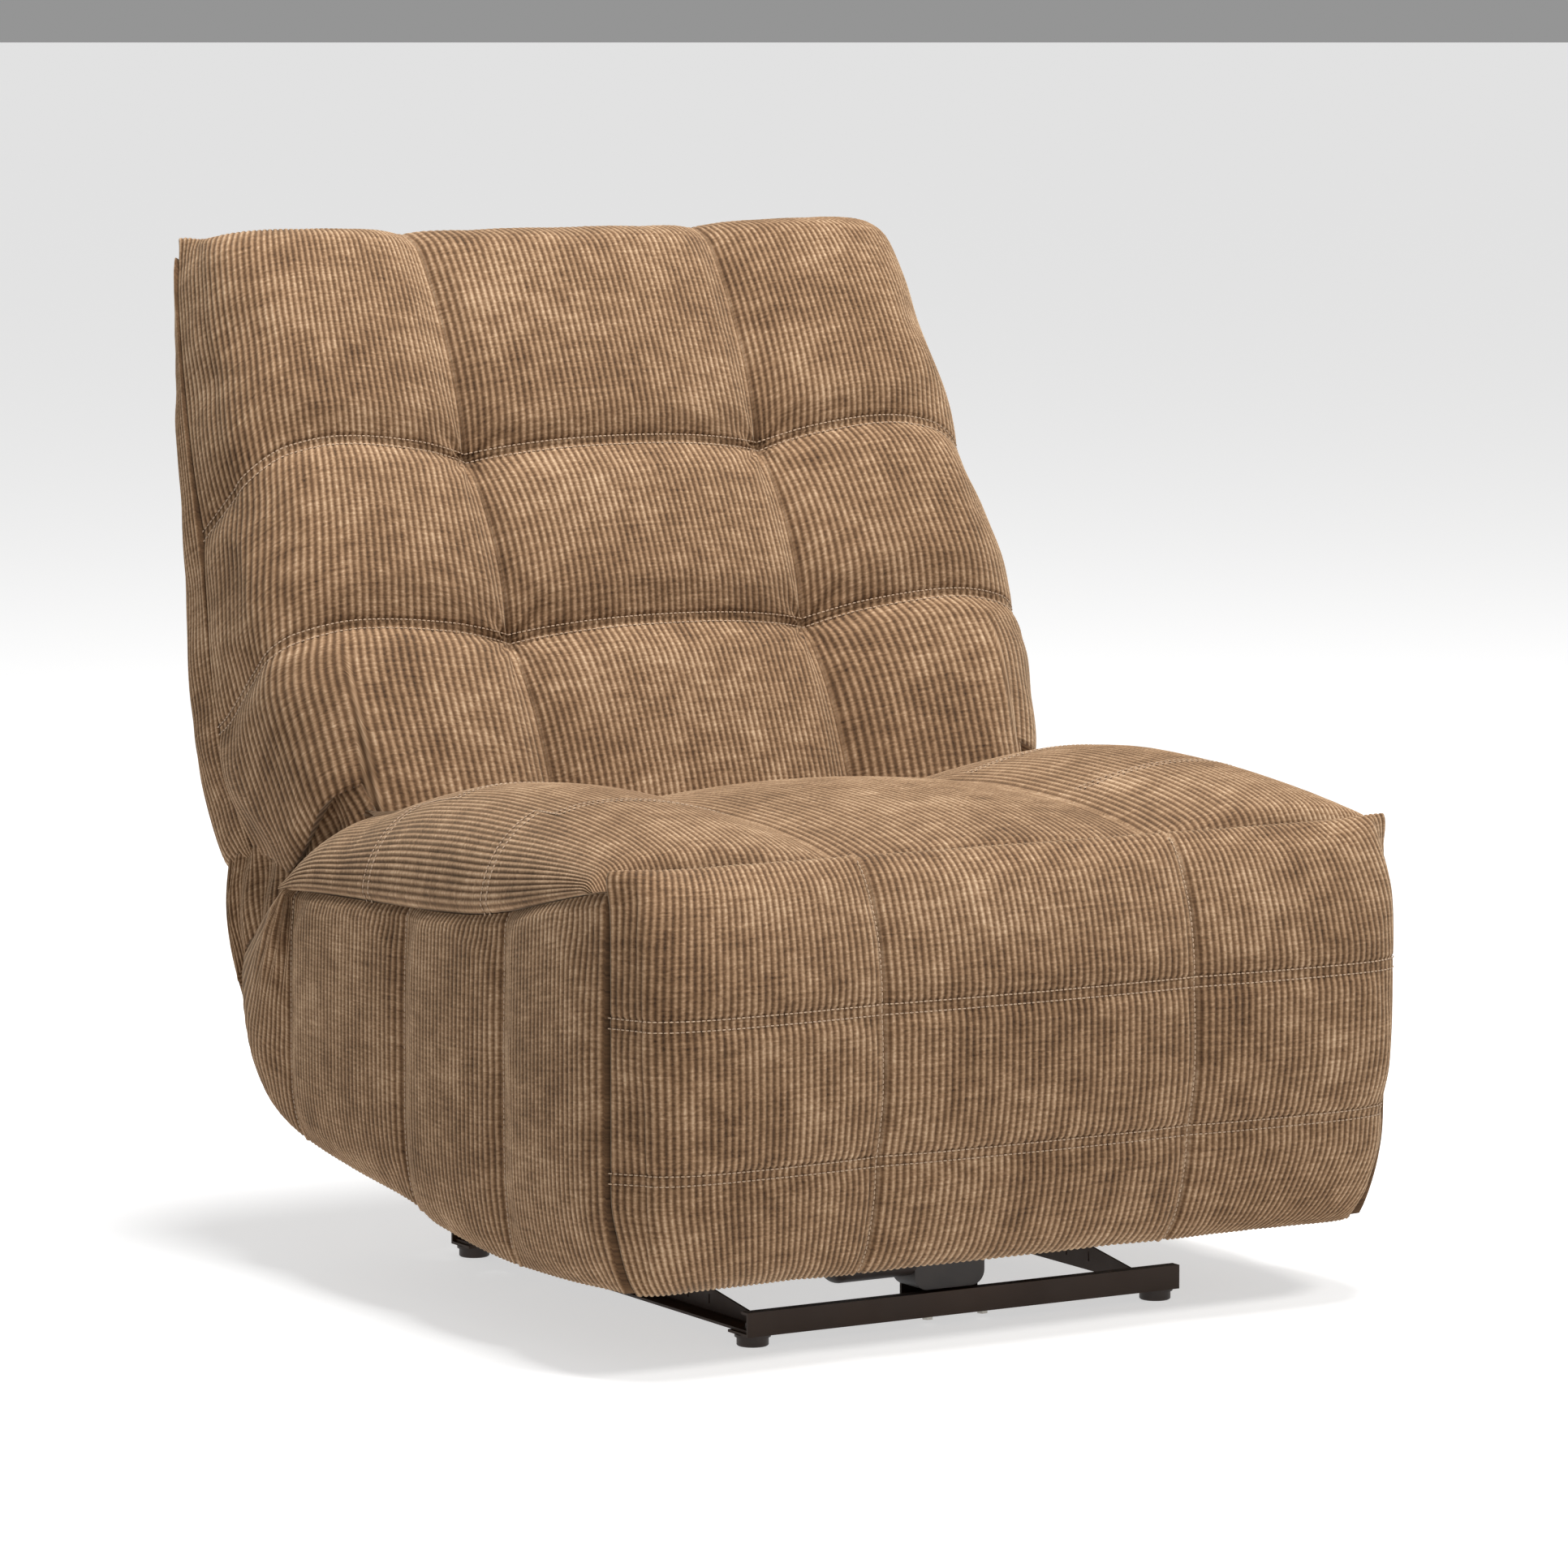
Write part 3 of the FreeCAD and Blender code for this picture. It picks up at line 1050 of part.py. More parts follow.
back_frame = new_body("back_frame")
ladder = new_sketch(back_frame, "XZ")
frame_low, leg_high = "back_bottom + soft_gap * 4", "strap_top + back_strap"
draw_outline(ladder, [
    ("-frame_half", frame_low), ("-stile_inner", frame_low), ("-stile_inner", leg_high),
    ("stile_inner", leg_high), ("stile_inner", frame_low), ("frame_half", frame_low),
    ("frame_half", "back_frame_top"), ("-frame_half", "back_frame_top")])
draw_rectangle(ladder, "-stile_inner", "stile_inner", leg_high + " + frame_rail", "back_frame_top - frame_rail")
pad(back_frame, ladder, "frame_gauge", middle=True)
lean(back_frame, depth=strap_y)
nodes.append(back_frame)

# Back cushion: three rows of three tufted cells over the frame; the shell closes the back behind it

BACK_ROW_SHARES = (
    # Share of the way up a row, swell of the cells there, share of the full depth where it is less
    ((0, 0.35), (0.3, 0.85), (0.56, 1), (0.85, 0.66), (1, 0)),
    ((0, 0), (0.2, 0.72), (0.5, 1), (0.8, 0.72), (1, 0)),
    ((0, 0), (0.16, 0.72), (0.45, 1), (0.74, 0.78), (0.88, 0.35, 0.93), (0.955, 0, 0.76), (1, 0, 0.42)),
)
WIDTH_LINE_SHARES = ((0, 0.965), (0.09, 0.978), (0.3, 1), (0.38, 0.995), (0.5, 0.984), (0.68, 0.967), (0.9, 0.925),
                     (0.98, 0.9), (1, 0.885))
SHELL_LINE_SHARES = (
    # Share of the way up the back, depth behind the hinge as a share of the deepest
    (0, 0.7), (0.03, 0.9), (0.08, 1), (0.14, 0.985), (0.2, 0.93), (0.26, 0.8), (0.33, 0.65), (0.4, 0.52),
    (0.466, 0.4), (0.54, 0.28), (0.62, 0.19), (0.7, 0.12), (0.8, 0.06), (0.89, -0.02), (0.94, -0.09),
    (0.97, -0.16), (0.99, -0.24),
)
back_low, back_high = size("back_bottom"), size("back_top")


def back_half_at(height):
    share = (height - back_low) / (back_high - back_low)
    return size("back_half") * along(WIDTH_LINE_SHARES, share)


def back_outline(height, swell, depth=1):
    """Section of the back cushion at a height up the back, in the leaning frame."""
    half = back_half_at(height) - size("row_pull") * (1 - swell)
    near = size("frame_front - soft_gap")

    def forward(reach):
        return near - (reach + near) * depth
    seam_y = forward(size("back_seam_y") - size("tuft_dip") * (1 - swell))
    face_y = forward(size("back_seam_y + row_dip") + size("back_crown - row_dip") * swell)
    side_y = forward(size("back_seam_y + row_dip") + size("side_crown - row_dip") * swell)
    edge_y = forward(size("back_edge"))
    front = quilted_front(half, size("back_seam"), edge_y, seam_y, face_y, side_y)
    return closed_wire([[(half, edge_y)]] + front + [[(-half, near)], [(half, near)]],
                       lambda x, y: V(x, y, height))


def shell_outline(share, depth):
    """Section of the padded shell behind the frame."""
    height = back_low + share * (back_high - back_low)
    half = back_half_at(height)
    near = size("frame_front")
    rear = size("shell_depth") * depth
    corner = min(size("shell_round"), (rear - near) / 2)
    bulge = rear + size("shell_bulge") * min(1, (rear - near) / size("frame_gauge") / 2)
    return closed_wire([
        [(half, near)], [(half, rear - corner)], [(half - corner * LIP_SHARE, rear - corner * LIP_SHARE),
                                                  (half - corner, rear)],
        [(0, bulge), (-half + corner, rear)],
        [(-half + corner * LIP_SHARE, rear - corner * LIP_SHARE), (-half, rear - corner)], [(-half, near)],
    ], lambda x, y: V(x, y, height))


# Relief under both sides of the back, so that it tilts past the side panels and the seat's horns
RELIEF_SHARES = ((-1.4, 1.12), (-1.1, 1.047), (0, 0.64), (0.38, 0.95), (0.68, 1.05), (1.04, 0.92), (1.34, 0.72),
                 (1.7, 0.66), (1.7, -0.5), (-1.4, -0.5))


def wing_relief(side):
    scale = size("relief_unit")
    corners = [V(size("wing_inner") * side, y * scale, z * scale) for y, z in RELIEF_SHARES]
    return Part.Face(Part.makePolygon(corners + corners[:1])).extrude(V(size("back_half") * side, 0, 0))


row_planes = [back_low, size("row_low"), size("row_high"), back_high]
back_rows = []
for low, high, stations in zip(row_planes, row_planes[1:], BACK_ROW_SHARES):
    back_rows.append(loft([back_outline(low + (high - low) * station[0], *station[1:]) for station in stations]))
reliefs = [wing_relief(-1), wing_relief(1)]
back_cushion = soft_part("back_cushion", back_rows, reliefs)
lean(back_cushion)
nodes.append(back_cushion)
frame_seat = Part.makeBox(size("(frame_half + soft_gap) * 2"), size("frame_gauge + soft_gap * 2"),
                          size("back_frame_top - back_bottom + soft_gap * 2"),
                          V(-size("frame_half + soft_gap"), size("frame_front - soft_gap"),
                            size("back_bottom - soft_gap")))
shell = loft([shell_outline(share, depth) for share, depth in SHELL_LINE_SHARES], straight=True)
back_shell = soft_part("back_shell", [shell], reliefs + [frame_seat])
lean(back_shell)
nodes.append(back_shell)

# Control switch on the right side panel: a moulded plate with four push buttons

switch = new_body("control_switch")
plate = new_sketch(switch, "YZ")
draw_rectangle(plate, "-switch_wide / 2", "switch_wide / 2", "-switch_tall / 2", "switch_tall / 2")
pad(switch, plate, "switch_outer - switch_inner")
button_names = ("footrest_out", "footrest_in", "back_down", "back_up")
button_places = ["(%d - %d / 2) * button_pitch" % (i, len(button_names) - 1) for i in range(len(button_names))]
wells = new_sketch(switch, "YZ")
for offset in button_places:
    draw_circle(wells, offset, "0", "button_radius + button_gap")
bind(wells, "AttachmentOffset.Base.z", "switch_outer - switch_inner")
pocket(switch, wells, "button_length - button_proud + button_travel + slide_gap")
place(switch, x="switch_inner", y="switch_y", z="switch_z")
round_edges(switch, "switch_round", lambda middle, edge: abs(middle.x - size("switch_outer - switch_inner") / 2)
            < size("soft_gap") and edge.Length > size("switch_outer - switch_inner - soft_gap"))
nodes.append(switch)
for name, offset in zip(button_names, button_places):
    button = doc.addObject("Part::Cylinder", "button_" + name)
    button.Label = "button_" + name
    bind(button, "Radius", "button_radius")
    bind(button, "Height", "button_length")
    place(button, x="switch_outer + button_proud - button_length", y="switch_y + " + offset, z="switch_z",
          axis=(0, 1, 0), angle="90")
    nodes.append(button)

# Every object is sound before any file is written

doc.recompute()
for thing in doc.Objects:
    if "Invalid" in thing.State or "Error" in thing.State:
        raise ValueError("%s did not build: %s" % (thing.Label, thing.State))
for node in nodes:
    if node.Shape.isNull() or not node.Shape.isValid() or node.Shape.Volume <= 0:
        raise ValueError(node.Label + " has no sound solid")
for node in nodes:
    node.Shape.exportStep("parts/%s.step" % node.Label)
print(len(nodes), "nodes")
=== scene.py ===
from math import cos, radians, sin

import bpy
import numpy as np
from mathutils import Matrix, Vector


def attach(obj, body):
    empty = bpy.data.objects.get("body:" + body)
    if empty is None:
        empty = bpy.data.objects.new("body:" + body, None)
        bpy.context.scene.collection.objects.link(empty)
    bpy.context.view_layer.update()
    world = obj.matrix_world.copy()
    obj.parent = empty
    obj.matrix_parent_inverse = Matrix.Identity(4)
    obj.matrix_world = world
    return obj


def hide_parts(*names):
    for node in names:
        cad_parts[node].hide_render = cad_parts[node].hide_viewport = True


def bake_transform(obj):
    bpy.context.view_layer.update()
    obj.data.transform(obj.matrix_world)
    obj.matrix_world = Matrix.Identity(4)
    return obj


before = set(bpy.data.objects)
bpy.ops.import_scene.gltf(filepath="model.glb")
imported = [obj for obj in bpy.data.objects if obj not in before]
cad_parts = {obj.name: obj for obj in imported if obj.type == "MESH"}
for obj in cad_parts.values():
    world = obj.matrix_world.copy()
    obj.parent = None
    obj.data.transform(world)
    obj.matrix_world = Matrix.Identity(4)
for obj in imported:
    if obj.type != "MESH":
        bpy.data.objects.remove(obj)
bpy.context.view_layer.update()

# The view: a long lens in front of the chair's left front corner, as in the photograph. A pale floor and
# large soft lamps stand for the studio. None of it belongs to the chair.

scene = bpy.context.scene


def put(name, data):
    """A new object with this data, in the scene."""
    thing = bpy.data.objects.new(name, data)
    scene.collection.objects.link(thing)
    return thing


lens = bpy.data.cameras.new("studio_lens")
lens.lens, lens.sensor_width = 165.6, 36
lens.clip_start, lens.clip_end = 0.1, 100
camera = put("studio_camera", lens)
turn, dip = radians(-31.1), radians(6.6)
towards_camera = Vector((sin(turn) * cos(dip), -cos(turn) * cos(dip), sin(dip)))
camera.location = (-3.590, -5.979, 1.2816)
camera.rotation_mode = "QUATERNION"
camera.rotation_quaternion = (-towards_camera).to_track_quat("-Z", "Y")
scene.camera = camera


def soft_lamp(name, place, aim, width, power, colour=(1, 1, 1)):
    lamp = bpy.data.lights.new(name, "AREA")
    lamp.shape, lamp.size, lamp.energy, lamp.color = "DISK", width, power, colour
    holder = put(name, lamp)
    holder.location = place
    holder.rotation_mode = "QUATERNION"
    holder.rotation_quaternion = (Vector(place) - Vector(aim)).to_track_quat("Z", "Y")


soft_lamp("key_lamp", (1.9, -4.4, 6.4), (0, 0, 0.4), 2.2, 280, (1, 0.985, 0.96))
soft_lamp("fill_lamp", (-3.6, -2.4, 1.8), (0, 0, 0.5), 2.6, 6)
soft_lamp("top_lamp", (0.2, -0.6, 6.4), (0, 0, 0.4), 2.6, 570)
sky = bpy.data.worlds.new("studio_sky")
scene.world = sky
sky.use_nodes = True
sky.node_tree.nodes["Background"].inputs["Color"].default_value = (1, 1, 1, 1)
sky.node_tree.nodes["Background"].inputs["Strength"].default_value = 0.3
scene.view_settings.view_transform = "Standard"

FLOOR = 900
floor_mesh = bpy.data.meshes.new("studio_floor")
floor_mesh.from_pydata([(-FLOOR, -FLOOR, 0), (FLOOR, -FLOOR, 0), (FLOOR, FLOOR, 0), (-FLOOR, FLOOR, 0)], [],
                       [(0, 1, 2, 3)])
floor = put("studio_floor", floor_mesh)
floor_paint = bpy.data.materials.new("pale_floor")
floor_paint.use_nodes = True
for word, value in (("Base Color", (0.55, 0.55, 0.55, 1)), ("Roughness", 0.8),
                    ("Emission Color", (1, 1, 1, 1)), ("Emission Strength", 0.58)):
    floor_paint.node_tree.nodes["Principled BSDF"].inputs[word].default_value = value
floor_mesh.materials.append(floor_paint)

# The base: two pressed steel rails joined by a channel at the front and one at the rear, with the stand-off
# brackets and side plates on them. All of it is powder coated dark brown, slightly grained, and rubbed
# a little brighter here and there.


def wire(tree, kind, inputs=(), **settings):
    """A node with its settings; an input is either a value or the output that it is joined to."""
    made = tree.nodes.new(kind)
    for word, value in settings.items():
        setattr(made, word, value)
    for key, value in dict(inputs).items():
        if isinstance(value, bpy.types.NodeSocket):
            tree.links.new(value, made.inputs[key])
        else:
            made.inputs[key].default_value = value
    return made


def blend_colours(tree, factor, stops):
    made = wire(tree, "ShaderNodeValToRGB", {"Fac": factor})
    line = made.color_ramp
    while len(line.elements) < len(stops):
        line.elements.new(1)
    for element, (place, colour) in zip(line.elements, stops):
        element.position = place
        element.color = (*colour, 1)
    return made.outputs["Color"]


def new_finish(name, roughness, metallic=0.0):
    finish = bpy.data.materials.new(name)
    finish.use_nodes = True
    shader = finish.node_tree.nodes["Principled BSDF"]
    shader.inputs["Roughness"].default_value = roughness
    shader.inputs["Metallic"].default_value = metallic
    return finish, finish.node_tree, shader


def speckle(tree, scale, detail=2.0, stretch=(1, 1, 1)):
    """Noise on the piece's own coordinates, finer along the directions that stretch makes larger."""
    place = wire(tree, "ShaderNodeTexCoord").outputs["Object"]
    spread = wire(tree, "ShaderNodeMapping", {"Vector": place, "Scale": stretch})
    noise = wire(tree, "ShaderNodeTexNoise", {
        "Vector": spread.outputs["Vector"], "Scale": scale, "Detail": detail})
    return noise.outputs["Fac"]


def paint(tree, shader, factor, stops):
    tree.links.new(blend_colours(tree, factor, stops), shader.inputs["Base Color"])


def roughen(tree, shader, height, strength, distance):
    bump = wire(tree, "ShaderNodeBump", {"Height": height, "Strength": strength, "Distance": distance})
    tree.links.new(bump.outputs["Normal"], shader.inputs["Normal"])


def dress(finish, *names):
    for name in names:
        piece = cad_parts[name]
        for seat in piece.material_slots:
            seat.material = finish


brown_coat, tree, shader = new_finish("brown_powder_coat", 0.5)
shader.inputs["Specular IOR Level"].default_value = 0.28
paint(tree, shader, speckle(tree, 9, 5), [
    (0.3, (0.026, 0.0125, 0.0060)), (0.62, (0.035, 0.0175, 0.0088)), (0.8, (0.047, 0.024, 0.0130))])
rubbed = wire(tree, "ShaderNodeMapRange", {"Value": speckle(tree, 26, 3), "To Min": 0.38, "To Max": 0.62})
tree.links.new(rubbed.outputs["Result"], shader.inputs["Roughness"])
roughen(tree, shader, speckle(tree, 900), 0.35, 0.0002)
dress(brown_coat, "base_rail_left", "base_rail_right", "front_cross_bar", "rear_cross_bar", "base_brackets",
      "side_plate_left", "side_plate_right")

# Four glide feet: black-brown moulded plastic cups on threaded studs, scuffed where they stand.


def speckled_finish(name, roughness, spots, stops, grain, bump, metallic=0.0):
    """A finish whose colour follows one speckle, spots, and whose surface is raised by another, grain."""
    finish, tree, shader = new_finish(name, roughness, metallic)
    paint(tree, shader, speckle(tree, *spots), stops)
    roughen(tree, shader, speckle(tree, *grain), *bump)
    return finish


foot_plastic = speckled_finish("foot_plastic", 0.45, (60, 4), [
    (0.35, (0.024, 0.013, 0.008)), (0.75, (0.038, 0.021, 0.014))], (1400,), (0.25, 0.0002))
dress(foot_plastic, "glide_feet")

# The footrest linkage: flat bars of the same coated steel, joined by shouldered rivets of bright zinc
# plated steel, with a torque tube across between the drive links.

dress(brown_coat, *(kind + "_link_" + side for kind in ("drive", "control", "cross", "outer")
                    for side in ("left", "right")),
      "torque_tube", "footrest_bracket_left", "footrest_bracket_right")
zinc = speckled_finish("plated_rivets", 0.32, (120, 4), [
    (0.3, (0.42, 0.40, 0.36)), (0.7, (0.62, 0.60, 0.55))], (500, 3), (0.15, 0.0002), 1.0)
dress(zinc, "frame_pins", "drive_pins", "control_pins", "footrest_pins", "motor_bolts")

# The seat box: birch plywood sides, rails and stringers, sawn and left bare. The plies show as bands along
# the sawn edges and the rotary-cut figure on the faces.

PLIES = 9


def sums(tree, operation, *values):
    return wire(tree, "ShaderNodeMath", dict(enumerate(values)), operation=operation).outputs[0]


def times(tree, value, factor):
    return sums(tree, "MULTIPLY", value, factor)


def split(tree, vector):
    return wire(tree, "ShaderNodeSeparateXYZ", {"Vector": vector}).outputs


def zigzag(tree, value, often):
    """Goes up and down between 0 and 1, with this many slopes per metre."""
    return sums(tree, "PINGPONG", times(tree, value, often), 1.0)


def birch_ply(name, thin, gauge):
    """Plywood whose plies lie across the direction thin (0 is x, 1 is y, 2 is z)."""
    finish, tree, shader = new_finish(name, 0.62)
    parts = split(tree, wire(tree, "ShaderNodeTexCoord").outputs["Object"])
    facing = split(tree, wire(tree, "ShaderNodeNewGeometry").outputs["Normal"])
    flat = sums(tree, "GREATER_THAN", sums(tree, "ABSOLUTE", facing[thin]), 0.7)
    band = zigzag(tree, parts[thin], PLIES / gauge)
    stretch = [(5, 0.5, 1.5), (0.5, 5, 1.5), (0.5, 1.5, 5)][thin]
    figure = blend_colours(tree, speckle(tree, 14, 6, stretch), [
        (0.3, (0.50, 0.34, 0.19)), (0.5, (0.60, 0.43, 0.26)), (0.7, (0.66, 0.50, 0.32))])
    edge = blend_colours(tree, band, [(0.25, (0.34, 0.21, 0.11)), (0.75, (0.60, 0.43, 0.25))])
    both = wire(tree, "ShaderNodeMix", {0: flat, 6: edge, 7: figure}, data_type="RGBA")
    tree.links.new(both.outputs[2], shader.inputs["Base Color"])
    roughen(tree, shader, speckle(tree, 320, 3, stretch), 0.2, 0.0004)
    return finish


dress(birch_ply("plywood_sides", 0, 0.018), "side_board_left", "side_board_right")
dress(birch_ply("plywood_stringers", 0, 0.020), "stringer_left", "stringer_right")
dress(birch_ply("plywood_rails", 1, 0.018), "seat_front_rail", "seat_rear_rail", "rear_board")
dress(birch_ply("plywood_footrest", 1, 0.012), "footrest_board")

# Seat webbing: wide elastic bands stretched between the front and rear rails and stapled to them, woven with
# fine cross picks over the rubber threads that run along each band.

webbing, tree, shader = new_finish("webbing", 0.85)
parts = split(tree, wire(tree, "ShaderNodeTexCoord").outputs["Object"])
weave = times(tree, zigzag(tree, parts[1], 500.0), zigzag(tree, parts[0], 640.0))
paint(tree, shader, weave, [(0.05, (0.06, 0.055, 0.05)), (0.6, (0.22, 0.205, 0.185))])
roughen(tree, shader, weave, 0.6, 0.0005)
dress(webbing, "seat_webbing")

# Two electric drives, one for the footrest and one for the back: moulded gearbox and motor housings with
# a fine spark-eroded grain, aluminium tracks drawn with lengthwise lines, and nylon carriages.

housing = speckled_finish("drive_housing", 0.5, (40, 4), [
    (0.35, (0.017, 0.0115, 0.009)), (0.75, (0.028, 0.019, 0.015))], (1800,), (0.35, 0.0002))
dress(housing, "lift_gearbox", "lift_motor", "recline_gearbox", "recline_motor", "power_inlet")
dress(brown_coat, "motor_bracket", "cross_tube")
LENGTHWISE = (40, 1, 40)
drawn_aluminium = speckled_finish("track_aluminium", 0.35, (60, 4, LENGTHWISE), [
    (0.3, (0.50, 0.50, 0.50)), (0.7, (0.68, 0.68, 0.68))], (200, 3, LENGTHWISE), (0.1, 0.0002), 1.0)
dress(drawn_aluminium, "lift_track", "recline_track")
nylon = speckled_finish("carriage_nylon", 0.42, (70, 3), [
    (0.35, (0.030, 0.030, 0.032)), (0.75, (0.050, 0.050, 0.053))], (900,), (0.2, 0.0002))
dress(nylon, "lift_carriage", "recline_carriage")

# The back frame: a plywood ladder on two steel hinge brackets, with the lever tube that the rear drive
# pulls. It is hidden in the upholstery but for the brackets' feet.

dress(birch_ply("plywood_back", 1, 0.022), "back_frame")
dress(brown_coat, "back_bracket_left", "back_bracket_right", "back_lever_tube")

# The cover of the whole chair is a chenille corduroy: soft ribs about 7 mm apart, each spun from tufts that
# catch the light in short streaks. Shade is painted into the grooves between the ribs and light onto their
# crests. Light brown, with lighter and darker patches where the pile has been brushed.

RIB = 0.0073
corduroy, tree, shader = new_finish("corduroy", 0.92)
for word, value in (("Sheen Weight", 0.28), ("Sheen Roughness", 0.45), ("Sheen Tint", (1.0, 0.80, 0.56, 1)),
                    ("Specular IOR Level", 0.2)):
    shader.inputs[word].default_value = value
across, along = split(tree, wire(tree, "ShaderNodeUVMap", uv_map="fabric").outputs["UV"])[:2]


def yarn(tree, ribs, lengths, detail):
    """Noise in the cloth's own directions: how often it changes per rib across, and per metre along."""
    spread = wire(tree, "ShaderNodeCombineXYZ", {
        0: times(tree, across, ribs), 1: times(tree, along, lengths)})
    noise = wire(tree, "ShaderNodeTexNoise", {"Vector": spread.outputs[0], "Scale": 1.0, "Detail": detail})
    return noise.outputs[0]


FULL_TURN = 6.2832
# Painted shade and painted highlight: the colour is darkened along each rib's groove and lightened along its
# crest, in step with the raised ribs.
painted_rib_shade = sums(tree, "COSINE", times(tree, across, FULL_TURN))
tufts = yarn(tree, 1.7, 420, 2.0)
streaks = yarn(tree, 0.14, 300, 2.5)
brushed = speckle(tree, 9, 3)
patches = speckle(tree, 42, 3)
tone = sums(tree, "MULTIPLY_ADD", painted_rib_shade, -0.19, -0.33)
for noise, weight in ((tufts, 0.50), (streaks, 0.38), (brushed, 0.38), (patches, 0.40)):
    tone = sums(tree, "MULTIPLY_ADD", noise, weight, tone)
paint(tree, shader, tone, [
    (0.10, (0.030, 0.0135, 0.0055)), (0.40, (0.118, 0.062, 0.029)), (0.66, (0.262, 0.160, 0.089)),
    (0.95, (0.50, 0.36, 0.235))])
lint = times(tree, tufts, 0.6)
fuzz = sums(tree, "MULTIPLY_ADD", yarn(tree, 6, 900, 2), 0.4, lint)
roughen(tree, shader, fuzz, 0.7, 0.0009)


def cubic(t, run, low, high, low_slope, high_slope):
    """Between two heights with these slopes, at the share t of the run."""
    return ((1 + 2 * t) * (1 - t) ** 2 * low + t * (1 - t) ** 2 * run * low_slope
            + t * t * (3 - 2 * t) * high + t * t * (t - 1) * run * high_slope)


def ramp(value, length=1):
    """From 0 to 1 over this length."""
    return np.clip(value / length, 0, 1)


def bell(off, width):
    return np.exp(-(off / width) ** 2)


def flowing(line, places):
    """Smooth curve through a line of (place, height) pairs."""
    xs, ys = np.array(line, float).T
    run, rise = np.diff(xs), np.diff(ys) / np.diff(xs)
    slope = np.concatenate([rise[:1], np.zeros(len(xs) - 2), rise[-1:]])
    steady = rise[:-1] * rise[1:] > 0
    slope[1:-1][steady] = (2 * rise[:-1] * rise[1:])[steady] / (rise[:-1] + rise[1:])[steady]
    at = np.clip(places, xs[0], xs[-1])
    i = np.clip(np.searchsorted(xs, at, side="right") - 1, 0, len(xs) - 2)
    return cubic((at - xs[i]) / run[i], run[i], ys[i], ys[i + 1], slope[i], slope[i + 1])


def even_steps(path, shares):
    """Points at these shares of a path's length."""
    reach = np.concatenate([[0], np.cumsum(np.linalg.norm(np.diff(path, axis=0), axis=1))])
    at = np.asarray(shares) * reach[-1]
    return np.stack([np.interp(at, reach, path[:, k]) for k in range(path.shape[1])], axis=1)


def cut_columns(ribs, per_rib):
    """Places across the ribs, counted in cells between the lengthwise seams: this many for each rib."""
    cells = [k + np.arange(per_rib * n) / (per_rib * n) for k, n in enumerate(ribs)]
    return np.concatenate(cells + [[len(ribs)]])


def cut_rows(start, end, seams, step):
    """Places along the ribs where the cloth has a row of points: dense beside the cross seams."""
    close, near = 0.0016, 0.0105
    places = [start]
    while places[-1] < end - 1e-6:
        gap = min([abs(places[-1] - seam) for seam in seams] + [1])
        ahead = min([seam - near - places[-1] for seam in seams if seam - near > places[-1] + 1e-6] + [1])
        places.append(places[-1] + (close if gap <= near - close / 2 else min(step, max(close, ahead))))
    return np.array(places[:-1] + [end])


def refine(table, old, new):
    """Smooth in-between values of a table's rows."""
    slope = np.gradient(table, old, axis=0)
    i = np.clip(np.searchsorted(old, new, side="right") - 1, 0, len(old) - 2)
    run = (old[i + 1] - old[i]).reshape(-1, *[1] * (table.ndim - 1))
    t = (new - old[i]).reshape(run.shape) / run
    return cubic(t, run, table[i], table[i + 1], slope[i], slope[i + 1])


def grid_faces(rows, columns):
    first = (np.arange(rows - 1)[:, None] * columns + np.arange(columns - 1)).ravel()
    return np.stack([first, first + 1, first + columns + 1, first + columns], axis=1)


def stuffed(name, points, held, outward, most):
    """How far each point of a cover moves when its filling presses it out between the held seams."""
    faces = grid_faces(*points.shape[:2])
    mesh = bpy.data.meshes.new(name)
    mesh.from_pydata(points.reshape(-1, 3).tolist(), [], (faces if outward > 0 else faces[:, ::-1]).tolist())
    cover = put(name, mesh)
    seams = cover.vertex_groups.new(name="seams")
    seams.add(np.flatnonzero(held.ravel()).tolist(), 1.0, "REPLACE")
    cloth = cover.modifiers.new("filling", "CLOTH")
    for word, value in (
            ("quality", 5), ("mass", 0.25), ("tension_stiffness", 12), ("compression_stiffness", 12),
            ("shear_stiffness", 4), ("bending_stiffness", 0.4), ("shrink_min", -0.035),
            ("vertex_group_mass", "seams"), ("use_pressure", True), ("uniform_pressure_force", 4)):
        setattr(cloth.settings, word, value)
    cloth.settings.effector_weights.gravity = 0
    cloth.collision_settings.use_collision = False
    for moment in range(1, 21):
        scene.frame_set(moment)
    shaped = cover.evaluated_get(bpy.context.evaluated_depsgraph_get()).to_mesh()
    moved = np.zeros(points.size)
    shaped.vertices.foreach_get("co", moved)
    moved = moved.reshape(points.shape) - points
    cover.evaluated_get(bpy.context.evaluated_depsgraph_get()).to_mesh_clear()
    bpy.data.objects.remove(cover)
    scene.frame_set(1)
    for smoothing in range(8):
        near = np.pad(moved, ((1, 1), (1, 1), (0, 0)), mode="edge")
        around = near[:-2, 1:-1] + near[2:, 1:-1] + near[1:-1, :-2] + near[1:-1, 2:]
        moved = np.where(held[..., None], 0, 0.4 * moved + 0.15 * around)
    reach = np.linalg.norm(moved, axis=2, keepdims=True)
    return moved * np.minimum(1, most / np.maximum(reach, 1e-9))


def surface_normals(points, sign):
    normal = np.cross(np.gradient(points, axis=1), np.gradient(points, axis=0)) * sign
    return normal / np.maximum(np.linalg.norm(normal, axis=2, keepdims=True), 1e-12)


